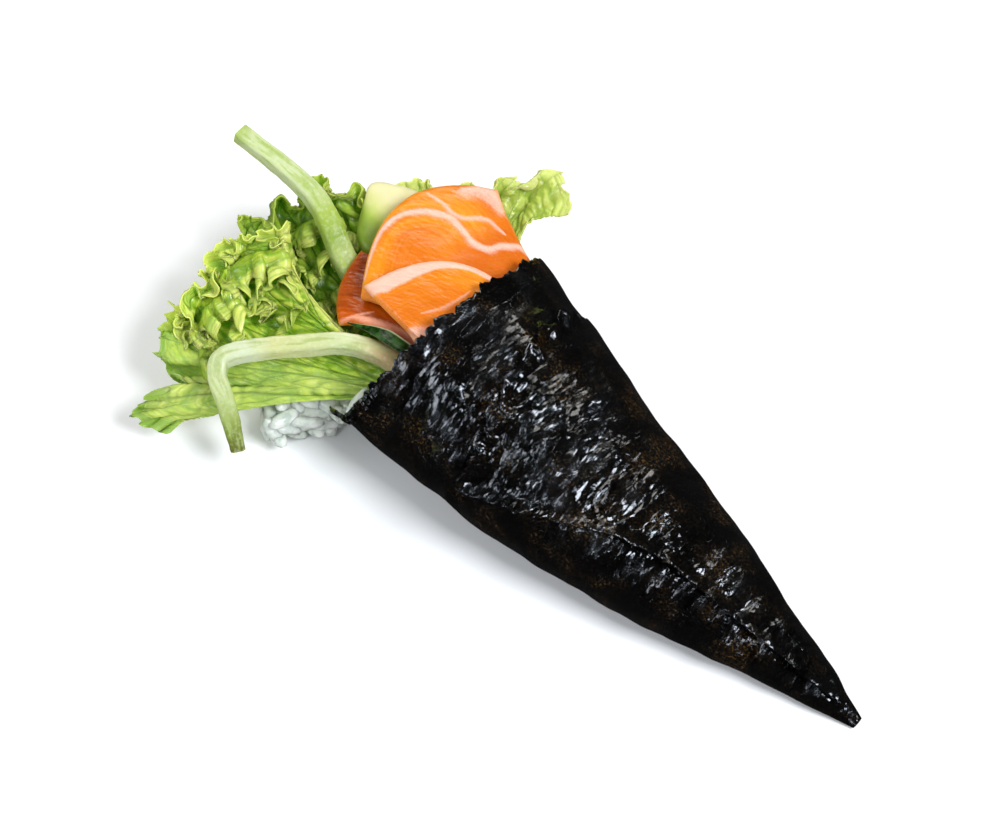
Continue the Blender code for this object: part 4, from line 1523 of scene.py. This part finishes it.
# %% Raw salmon, sliced
def salmon_material(name, deep_tone_and_shade, flesh, bright, fat_colour, rim_highlight):
    material, tree, shader = new_material(
        name,
        {
            "IOR": 1.38,
            "Specular IOR Level": 0.42,
            "Subsurface Weight": 0.45,
            "Subsurface Radius": (2.4, 0.9, 0.4),
            "Subsurface Scale": 0.0010,
            "Coat Weight": 0.12,
            "Coat Roughness": 0.2,
        },
    )
    flake = add(tree, "ShaderNodeAttribute", attribute_name="flake").outputs["Vector"]
    fat = add(tree, "ShaderNodeAttribute", attribute_name="fat").outputs["Fac"]
    rim = add(tree, "ShaderNodeAttribute", attribute_name="rim").outputs["Fac"]
    place = add(tree, "ShaderNodeTexCoord").outputs["Object"]
    gap = add(tree, "ShaderNodeSeparateXYZ", {0: flake}).outputs[1]
    # Muscle fibres: half a millimetre apart across the flake, twenty times as long along it.
    stretched = add(tree, "ShaderNodeMapping", {"Vector": flake, "Scale": (45.0, 1700.0, 45.0)})
    fibres = add(tree, "ShaderNodeTexNoise", {"Vector": stretched, "Scale": 1.0, "Detail": 3.0})
    broad = add(tree, "ShaderNodeMapping", {"Vector": flake, "Scale": (30.0, 380.0, 30.0)})
    bands = add(tree, "ShaderNodeTexNoise", {"Vector": broad, "Scale": 1.0, "Detail": 2.0})
    tone = add(
        tree,
        "ShaderNodeMath",
        {
            0: add(tree, "ShaderNodeMath", {0: fibres.outputs["Fac"], 1: 0.35}, operation="MULTIPLY"),
            1: add(tree, "ShaderNodeMath", {0: bands.outputs["Fac"], 1: 0.65}, operation="MULTIPLY"),
        },
        operation="ADD",
    )
    muscle = add(tree, "ShaderNodeValToRGB", {0: tone}, stops=((0.30, deep_tone_and_shade), (0.50, flesh), (0.70, bright)))
    # Each flake is painted brightest just under its fat and darker away from it, as shade on its curved face; the
    # shade attribute adds painted shade where a slice gives it.
    painted_flake_shade = add(
        tree,
        "ShaderNodeMapRange",
        {0: add(tree, "ShaderNodeMath", {0: gap}, operation="ABSOLUTE"), 1: 0.001, 2: 0.010, 3: 0.0, 4: 0.75},
        interpolation_type="SMOOTHSTEP",
    )
    shade = add(tree, "ShaderNodeAttribute", attribute_name="shade").outputs["Fac"]
    shaded = add(
        tree,
        "ShaderNodeMix",
        {0: add(tree, "ShaderNodeMath", {0: painted_flake_shade, 1: shade}, operation="MAXIMUM"), 6: muscle, 7: deep_tone_and_shade},
        data_type="RGBA",
    )
    # Fat thins out into the muscle with a grainy edge.
    grain = add(tree, "ShaderNodeTexNoise", {"Vector": place, "Scale": 2200.0, "Detail": 2.0}).outputs["Fac"]
    edge = add(
        tree,
        "ShaderNodeMath",
        {0: add(tree, "ShaderNodeMath", {0: grain, 1: 0.5}, operation="SUBTRACT"), 1: 0.45, 2: fat},
        operation="MULTIPLY_ADD",
    )
    marbled = add(
        tree,
        "ShaderNodeMix",
        {
            0: add(tree, "ShaderNodeMapRange", {0: edge, 1: 0.12, 2: 0.90}, interpolation_type="SMOOTHSTEP"),
            6: shaded,
            7: fat_colour,
        },
        data_type="RGBA",
    )
    # A painted highlight: the edges of each slice are lighter, as where the cut edges catch the light.
    lit = add(
        tree,
        "ShaderNodeMix",
        {0: add(tree, "ShaderNodeMath", {0: rim, 1: 0.32}, operation="MULTIPLY"), 6: marbled, 7: rim_highlight},
        data_type="RGBA",
    )
    feed(tree, shader, {"Base Color": lit})
    feed(
        tree,
        shader,
        {
            "Roughness": add(
                tree,
                "ShaderNodeMapRange",
                {0: grain, 1: 0.35, 2: 0.65, 3: 0.46, 4: 0.28},
                interpolation_type="SMOOTHSTEP",
            ),
        },
    )
    height = add(
        tree,
        "ShaderNodeMath",
        {0: fibres.outputs["Fac"], 1: add(tree, "ShaderNodeMath", {0: grain, 1: 0.5}, operation="MULTIPLY")},
        operation="ADD",
    )
    bump = add(tree, "ShaderNodeBump", {"Strength": 0.35, "Distance": 0.0003, "Height": height})
    feed(tree, shader, {"Normal": bump})
    return material


RAW_SALMON = salmon_material("salmon flesh, sliced raw", "#d2690a", "#ea8c12", "#f4a024", "#f0bca6", "#f8b060")
# A darker copy of the salmon colours: the under slice is painted in the shadow of the slices above it.
SHADED_SALMON = salmon_material("salmon flesh, under slice, in shadow", "#883600", "#c45600", "#d86c04", "#eaa888", "#da7c2a")
print("salmon materials made")

# %% The three slices
MAIN_BAND = (
    (-16.5, -5.4), (-20.6, 1.5), (-21.9, 5.9), (-21.5, 9.4), (-19.3, 12.6), (-16.5, 14.6), (-13.5, 15.8),
    (-10.4, 15.4), (-6.2, 14.5), (-3.5, 15.3), (-1.9, 18.3), (0.3, 20.8), (2.1, 21.2),
)  # fmt: skip
TOP_BAND = (
    (-21.1, 17.0), (-17.2, 17.3), (-14.1, 16.9), (-11.7, 17.6), (-9.6, 19.8), (-7.8, 20.7), (-5.0, 20.6), (-3.5, 20.5),
)  # fmt: skip
main_slice = fish_slice(
    "main_salmon_slice",
    ((-14.6, -8.6, 28.6), (34, -4, 30.1), (-12, 28, 30.3), (34, 21, 27.3)),
    ((4, -4.5, 29.9), (8, 20.8, 28.4), (-24.2, 12.6, 29.8), (34, 9, 30.7)),
    3.4,
    (170, 190),
    0.5,
    [
        (MAIN_BAND, (0.3, 1.1, 1.3, 1.4, 1.2, 1.4, 1.5), 0.85),
        (TOP_BAND, (0.5, 1.0, 1.1, 1.2, 0.9, 0.3), 0.7),
        (((-16.5, 22.6), (-12.6, 26.0), (-8.0, 24.6)), (2.0, 4.2, 2.0), 0.75),
    ],
    MAIN_BAND,
    # Painted shade, deepening towards the mouth of the roll.
    lambda x, y: smooth((x + 12) / 9),
)
main_slice.data.materials.append(RAW_SALMON)
serve(main_slice, "salmon_slice_main")

FRONT_FAR_EDGE = ((-14.3, -7.8), (-8.0, 4.0), (1.0, 9.9), (12.0, 12.0), (34.0, 8.0))
front_slice = fish_slice(
    "front_salmon_slice",
    ((1.4, -9.6, 33.6), (34, -9.0, 33.2), (-14.3, -7.8, 32.1), (34, 8, 34.7)),
    ((17, -9.6, 33.6), (1.0, 9.9, 35.1), (-7.0, -9.0, 32.9), (34, 0, 36.1)),
    3.0,
    (150, 190),
    0.0,
    [
        (((-0.6, -5.5), (2.0, -1.0), (3.0, 4.0)), (0.4, 0.9, 0.4), 0.5),
        (((0.6, -9.4), (3.6, -6.4), (6.0, 0.0)), (2.8, 3.0, 1.6), 0.7),
    ],
    FRONT_FAR_EDGE,
    lambda x, y: 0 * x,
    edge_band=((0.0, 0.06, 0.16, 0.3, 0.45, 1.0), (3.6, 5.0, 4.8, 3.1, 2.1, 1.6)),
)
front_slice.data.materials.append(RAW_SALMON)
serve(front_slice, "salmon_slice_front")

under_slice = fish_slice(
    "under_salmon_slice",
    ((-15.3, -14, 24.2), (34, -8.6, 27.8), (-23.8, 0.5, 26.2), (34, 4, 24.8)),
    ((2, -9.7, 28.4), (0, 4, 26.0), (-21.0, -8.6, 25.2), (34, -2, 25.9)),
    2.4,
    (90, 190),
    0.0,
    [
        (((-15.0, -13.4), (-13.0, -11.0), (-11.0, -8.5)), (0.9, 0.9, 0.3), 0.6),
        (((-13.5, -11.6), (-9.5, -10.1), (-5.0, -8.9), (1.0, -8.1)), (0.6, 1.5, 1.9, 1.5), 0.75),
    ],
    ((-15.3, -14), (-6, -11.5), (2, -9.7), (34, -8.6)),
    # Painted shadow over the upper part, which lies under the main slice.
    lambda x, y: smooth((y + 9.5) / 5),
)
under_slice.data.materials.append(SHADED_SALMON)
serve(under_slice, "salmon_slice_under")

# %% [markdown]
# ## Cucumber
# A cucumber cut in sticks shows pale wet flesh with faint stripes along it, where the seeds' walls ran, and a
# strip of dark skin on some. Every stick is one profile, a square with softened corners, drawn along a path, so
# a Geometry Nodes tree does just that. It also stores the distance along and round the stick for the material.


# %% Stick tree
def stick_tree():
    tree, given = new_tree(
        "stick",
        Width=METRES,
        Height=METRES,
        Corner=METRES,
        Unevenness=METRES,
        Material=("Material", None),
    )
    even = add(tree, "GeometryNodeResampleCurve", {"Curve": given["Geometry"], "Length": 0.00035}, mode="LENGTH")
    upright = add(tree, "GeometryNodeSetCurveNormal", {"Curve": even}, mode="Z_UP")
    how_far = add(tree, "GeometryNodeSplineParameter").outputs["Length"]
    marked = add(
        tree,
        "GeometryNodeStoreNamedAttribute",
        {"Geometry": upright, "Name": "along", "Value": how_far},
        data_type="FLOAT",
    )
    square = add(
        tree, "GeometryNodeCurvePrimitiveQuadrilateral", {"Width": given["Width"], "Height": given["Height"]}
    )
    soft = add(
        tree,
        "GeometryNodeFilletCurve",
        {"Curve": square, "Radius": given["Corner"], "Count": 4},
        mode="POLY",
    )
    profile = add(tree, "GeometryNodeResampleCurve", {"Curve": soft, "Count": 48}, mode="COUNT")
    round_it = add(tree, "GeometryNodeSplineParameter").outputs["Factor"]
    wound = add(
        tree,
        "GeometryNodeStoreNamedAttribute",
        {"Geometry": profile, "Name": "around", "Value": round_it},
        data_type="FLOAT",
    )
    thick = add(tree, "GeometryNodeInputRadius")
    bar = add(
        tree,
        "GeometryNodeCurveToMesh",
        {"Curve": marked, "Profile Curve": wound, "Scale": thick, "Fill Caps": True},
    )
    place = add(tree, "GeometryNodeInputPosition")
    lumps = add(tree, "ShaderNodeTexNoise", {"Vector": place, "Scale": 330.0, "Detail": 3.0})
    lowered = add(tree, "ShaderNodeVectorMath", {0: lumps.outputs["Color"], 1: (0.5,) * 3}, operation="SUBTRACT")
    nudge = add(tree, "ShaderNodeVectorMath", {0: lowered, "Scale": given["Unevenness"]}, operation="SCALE")
    uneven = add(tree, "GeometryNodeSetPosition", {"Geometry": bar, "Offset": nudge})
    solid = add(tree, "GeometryNodeRealizeInstances", {"Geometry": uneven})
    dressed = add(
        tree, "GeometryNodeSetMaterial", {"Geometry": solid, "Material": given["Material"]}
    )
    add(tree, "NodeGroupOutput", {"Geometry": dressed})
    return tree


STICK = stick_tree()


def path_curve(name, places, thickness=lambda share: 1.0 + 0 * share, count=160):
    """A curve through places, laid in the cone; thickness says how thick the stick is along it."""
    points = (squeeze(smooth_path(places, count)) + SHIFT) * MM
    curve = bpy.data.curves.new(name, "CURVE")
    curve.dimensions = "3D"
    spline = curve.splines.new("POLY")
    spline.points.add(count - 1)
    spline.points.foreach_set("co", np.concatenate([points, np.ones((count, 1))], 1).ravel())
    spline.points.foreach_set("radius", thickness(np.linspace(0, 1, count)))
    made = bpy.data.objects.new(name, curve)
    bpy.context.scene.collection.objects.link(made)
    return made


print("stick tree:", len(STICK.nodes), "nodes")


# %% Cucumber flesh, cut
def cucumber_material(name, length, stops, stripe):
    """stops are colours along the stick; stripe is the darker green between the seeds' walls."""
    material, tree, shader = new_material(
        name,
        {
            "IOR": 1.36,
            "Specular IOR Level": 0.5,
            "Subsurface Weight": 0.5,
            "Subsurface Radius": (1.2, 1.4, 0.6),
            "Subsurface Scale": 0.0013,
            "Coat Weight": 0.2,
            "Coat Roughness": 0.18,
        },
    )
    along = add(tree, "ShaderNodeAttribute", attribute_name="along").outputs["Fac"]
    around = add(tree, "ShaderNodeAttribute", attribute_name="around").outputs["Fac"]
    place = add(tree, "ShaderNodeTexCoord").outputs["Object"]
    body = add(
        tree,
        "ShaderNodeValToRGB",
        {0: add(tree, "ShaderNodeMath", {0: along, 1: length}, operation="DIVIDE")},
        stops=stops,
    )
    # Stripes a millimetre apart round the stick and a centimetre long.
    turned = add(tree, "ShaderNodeMath", {0: around, 1: 2 * math.pi}, operation="MULTIPLY")
    ring = add(
        tree,
        "ShaderNodeCombineXYZ",
        {
            0: add(
                tree,
                "ShaderNodeMath",
                {0: add(tree, "ShaderNodeMath", {0: turned}, operation="SINE"), 1: 1.6},
                operation="MULTIPLY",
            ),
            1: add(
                tree,
                "ShaderNodeMath",
                {0: add(tree, "ShaderNodeMath", {0: turned}, operation="COSINE"), 1: 1.6},
                operation="MULTIPLY",
            ),
            2: add(tree, "ShaderNodeMath", {0: along, 1: 110.0}, operation="MULTIPLY"),
        },
    )
    streaks = add(tree, "ShaderNodeTexNoise", {"Vector": ring, "Scale": 1.3, "Detail": 3.0}).outputs["Fac"]
    striped = add(
        tree,
        "ShaderNodeMix",
        {
            0: add(
                tree,
                "ShaderNodeMapRange",
                {0: streaks, 1: 0.48, 2: 0.68, 3: 0.0, 4: 0.75},
                interpolation_type="SMOOTHSTEP",
            ),
            6: body,
            7: stripe,
        },
        data_type="RGBA",
    )
    flesh = add(tree, "ShaderNodeTexNoise", {"Vector": place, "Scale": 1300.0, "Detail": 3.0}).outputs["Fac"]
    wet = add(
        tree,
        "ShaderNodeMix",
        {
            0: add(
                tree,
                "ShaderNodeMapRange",
                {0: flesh, 1: 0.45, 2: 0.7, 3: 0.0, 4: 0.22},
                interpolation_type="SMOOTHSTEP",
            ),
            6: striped,
            7: "#dde3c2",
        },
        data_type="RGBA",
    )
    feed(tree, shader, {"Base Color": wet})
    feed(
        tree,
        shader,
        {
            "Roughness": add(
                tree,
                "ShaderNodeMapRange",
                {0: streaks, 1: 0.35, 2: 0.65, 3: 0.28, 4: 0.45},
                interpolation_type="SMOOTHSTEP",
            ),
        },
    )
    height = add(tree, "ShaderNodeMath", {0: flesh, 1: streaks}, operation="ADD")
    bump = add(tree, "ShaderNodeBump", {"Strength": 0.35, "Distance": 0.0003, "Height": height})
    feed(tree, shader, {"Normal": bump})
    return material


# %% The two sticks
# The darker greens from a quarter of its length on are painted shade, where the stick runs under the salmon and into
# the roll.
STRAIGHT = cucumber_material(
    "cucumber flesh, cut, straight stick",
    0.098,
    (
        (0.0, "#a2b45a"),
        (0.03, "#c4cf9a"),
        (0.19, "#c8d2a0"),
        (0.25, "#a2b74c"),
        (0.30, "#86a034"),
        (0.34, "#a4b468"),
        (0.42, "#7f8f46"),
    ),
    "#9ab246",
)
straight_path = ((-57.9, 0.5, 34), (-38.2, 1.8, 29.5), (-24.2, -2.6, 23), (-8, -4.4, 18.2), (14, -4.4, 17.4), (40, -4.4, 17.4))  # fmt: skip
straight = grow(
    path_curve("straight_cucumber_stick", straight_path, lambda s: 0.86 + 0.30 * smooth((s - 0.05) / 0.28)),
    STICK,
    Width=0.0040,
    Height=0.0046,
    Corner=0.0009,
    Unevenness=0.0004,
    Material=STRAIGHT,
)
serve(straight, "cucumber_stick_straight")

BENT = cucumber_material(
    "cucumber flesh, cut, bent stick",
    0.102,
    (
        (0.0, "#5f6220"),
        (0.05, "#7f9038"),
        (0.10, "#b2c07a"),
        (0.14, "#c6d09a"),
        (0.24, "#cdd5b4"),
        (0.30, "#c6c88a"),
        (0.44, "#c4ce9c"),
        (0.52, "#b8a070"),
    ),
    "#a3b266",
)
bent_path = ((-17, -42.3, 9), (-22, -39.4, 16.4), (-26.4, -37.2, 21.2), (-26.8, -32.9, 22.8), (-18.2, -23.2, 24.2), (-8, -14.8, 25.2), (8, -12.2, 25.2), (38, -12.2, 25.2))  # fmt: skip
bent = grow(
    path_curve("bent_cucumber_stick", bent_path, lambda s: 0.80 + 0.20 * smooth(s / 0.12)),
    STICK,
    Width=0.0037,
    Height=0.0042,
    Corner=0.0010,
    Unevenness=0.0005,
    Material=BENT,
)
serve(bent, "cucumber_stick_bent")

# %% Cucumber skin
skin_material, tree, shader = new_material(
    "cucumber skin, dark and waxy",
    {"IOR": 1.45, "Specular IOR Level": 0.4, "Coat Weight": 0.15, "Coat Roughness": 0.2},
)
around = add(tree, "ShaderNodeAttribute", attribute_name="around").outputs["Fac"]
place = add(tree, "ShaderNodeTexCoord").outputs["Object"]
speck = add(tree, "ShaderNodeTexNoise", {"Vector": place, "Scale": 700.0, "Detail": 3.0}).outputs["Fac"]
green = add(tree, "ShaderNodeValToRGB", {0: speck}, stops=((0.35, "#0a2404"), (0.52, "#163c08"), (0.72, "#2c5816")))
flesh_side = add(
    tree,
    "ShaderNodeMapRange",
    {
        0: add(
            tree,
            "ShaderNodeMath",
            {0: add(tree, "ShaderNodeMath", {0: around, 1: 0.5}, operation="SUBTRACT")},
            operation="ABSOLUTE",
        ),
        1: 0.04,
        2: 0.10,
        3: 1.0,
        4: 0.0,
    },
    interpolation_type="SMOOTHSTEP",
)
feed(
    tree,
    shader,
    {"Base Color": add(tree, "ShaderNodeMix", {0: flesh_side, 6: green, 7: "#c3d2a2"}, data_type="RGBA")},
)
feed(
    tree,
    shader,
    {
        "Roughness": add(
            tree,
            "ShaderNodeMapRange",
            {0: speck, 1: 0.35, 2: 0.65, 3: 0.2, 4: 0.38},
            interpolation_type="SMOOTHSTEP",
        ),
    },
)
bump = add(tree, "ShaderNodeBump", {"Strength": 0.2, "Distance": 0.0002, "Height": speck})
feed(tree, shader, {"Normal": bump})
strip_path = ((-13.6, -13.4, 26.6), (-6, -11.9, 29.4), (2, -11.2, 30.4), (12, -11.2, 30.4), (32, -11.2, 30.4))
strip = grow(
    path_curve("strip_of_cucumber_skin", strip_path, lambda s: 0.10 + 0.90 * smooth(s / 0.34)),
    STICK,
    Width=0.0028,
    Height=0.0011,
    Corner=0.0003,
    Unevenness=0.0003,
    Material=skin_material,
)
serve(strip, "cucumber_skin_strip")

# %% [markdown]
# ## Avocado
# A slice of ripe avocado is buttery and cream yellow at the stone and turns green towards the skin. The same
# tree draws it, wider and with rounder corners, and the colour runs across the slice.

# %% The avocado slice
avocado_material, tree, shader = new_material(
    "avocado flesh, ripe",
    {
        "IOR": 1.4,
        "Specular IOR Level": 0.4,
        "Subsurface Weight": 0.5,
        "Subsurface Radius": (1.4, 1.2, 0.5),
        "Subsurface Scale": 0.0012,
    },
)
place = add(tree, "ShaderNodeTexCoord").outputs["Object"]
side = add(tree, "ShaderNodeSeparateXYZ", {0: place}).outputs[1]
butter = add(tree, "ShaderNodeTexNoise", {"Vector": place, "Scale": 260.0, "Detail": 3.0}).outputs["Fac"]
# Cream on the far side and green on the near side, whose darkest olive is painted shade.
stone_side_and_shade = add(tree, "ShaderNodeMapRange", {0: side, 1: 0.0105, 2: 0.0215}, interpolation_type="SMOOTHSTEP")
mixed = add(
    tree,
    "ShaderNodeMath",
    {
        0: stone_side_and_shade,
        1: 0.8,
        2: add(tree, "ShaderNodeMath", {0: butter, 1: 0.3, 2: -0.05}, operation="MULTIPLY_ADD"),
    },
    operation="MULTIPLY_ADD",
)
feed(
    tree,
    shader,
    {
        "Base Color": add(
            tree,
            "ShaderNodeValToRGB",
            {0: mixed},
            stops=((0.05, "#6f8a26"), (0.35, "#a2b84a"), (0.60, "#cdd184"), (0.9, "#ddd7a4")),
        ),
    },
)
feed(
    tree,
    shader,
    {
        "Roughness": add(
            tree,
            "ShaderNodeMapRange",
            {0: butter, 1: 0.35, 2: 0.65, 3: 0.35, 4: 0.5},
            interpolation_type="SMOOTHSTEP",
        ),
    },
)
bump = add(tree, "ShaderNodeBump", {"Strength": 0.25, "Distance": 0.0003, "Height": butter})
feed(tree, shader, {"Normal": bump})
avocado_path = ((-30.6, 6.6, 24.6), (-21.5, 11.6, 23.6), (0, 10, 21.2), (34, 7, 21))
avocado = grow(
    path_curve(
        "slice_of_avocado", avocado_path, lambda s: np.sqrt(np.clip(1 - (1 - np.minimum(s / 0.13, 1)) ** 2, 0.02, 1))
    ),
    STICK,
    Width=0.0180,
    Height=0.0042,
    Corner=0.0021,
    Unevenness=0.0006,
    Material=avocado_material,
)
serve(avocado, "avocado_slice")

# %% [markdown]
# ## Floor, light and camera
# Food is lit by one large soft light overhead, which draws a broad pale sheen on wet fish and leaves and sharp
# glints on the nori's creases. A smaller warm light from behind rims the leaves. The floor is a plain pale
# sheet that bounces light up into the shadows.

# %% Floor
bpy.ops.mesh.primitive_plane_add(size=2.2)
floor = bpy.context.object
floor.name = "floor"
floor_material, _, floor_shader = new_material("matt white paper", {"Roughness": 0.9, "Specular IOR Level": 0.1})
floor_shader.inputs["Base Color"].default_value = srgb("#f6f6f4")
floor.data.materials.append(floor_material)
floor.visible_glossy = False  # a sheet of paper this near would grey the nori from below

# %% Lights
MIDDLE = Vector((np.array([18.0, -2.0, 12.0]) + SHIFT) * MM)


def softbox(name, direction, distance, size, watts, colour):
    """A square area light that faces the middle of the roll."""
    lamp = bpy.data.lights.new(name, "AREA")
    lamp.shape, lamp.size, lamp.energy, lamp.color = "SQUARE", size, watts, srgb(colour)[:3]
    holder = bpy.data.objects.new(name, lamp)
    holder.location = MIDDLE + Vector(direction).normalized() * distance
    holder.rotation_euler = (holder.location - MIDDLE).to_track_quat("Z", "Y").to_euler()
    bpy.context.scene.collection.objects.link(holder)
    return holder


softbox("overhead softbox", (0.58, 0.10, 0.80), 0.9, 0.32, 8.0, "#f4f8ff")
softbox("near side fill", (-0.60, -0.60, 0.48), 0.9, 0.28, 2.3, "#f4f8ff")
softbox("low side strip", (0.10, -0.72, 0.69), 0.9, 0.20, 1.3, "#eef4ff")
softbox("back light", (-0.9, 0.75, 0.9), 1.1, 0.45, 4.0, "#fdf8f0")

world = bpy.data.worlds.new("pale room")
bpy.context.scene.world = world
world.use_nodes = True
sky = world.node_tree
rays = add(sky, "ShaderNodeLightPath").outputs
glow = sky.nodes["Background"]
glow.inputs["Color"].default_value = srgb("#f4f6fa")
# The room fills the shadows, is dim in reflections so that black stays black, and is pale behind the floor.
matt = add(
    sky,
    "ShaderNodeMapRange",
    {0: rays["Is Glossy Ray"], 1: 0.0, 2: 1.0, 3: 0.40, 4: 0.02},
    interpolation_type="SMOOTHSTEP",
)
feed(
    sky,
    glow,
    {
        "Strength": add(
            sky,
            "ShaderNodeMath",
            {0: matt, 1: add(sky, "ShaderNodeMath", {0: rays["Is Camera Ray"], 1: 0.95}, operation="MULTIPLY")},
            operation="MAXIMUM",
        ),
    },
)

# %% Camera
CAMERA_TARGET = Vector((np.array([17.48, -2.88, 12.0]) + SHIFT) * MM)
CAMERA_TURN, CAMERA_HEIGHT = math.radians(43.35), math.radians(60.0)
lens = bpy.data.cameras.new("camera")
lens.lens, lens.sensor_width, lens.clip_start = 85.0, 36.0, 0.01
camera = bpy.data.objects.new("camera", lens)
camera.rotation_euler = (math.pi / 2 - CAMERA_HEIGHT, 0.0, CAMERA_TURN)
camera.location = CAMERA_TARGET + camera.rotation_euler.to_matrix() @ Vector((0.0, 0.0, 0.4685))
bpy.context.scene.collection.objects.link(camera)
bpy.context.scene.camera = camera
bpy.context.scene.view_settings.view_transform = "Standard"
print("camera at", [round(v, 3) for v in camera.location])
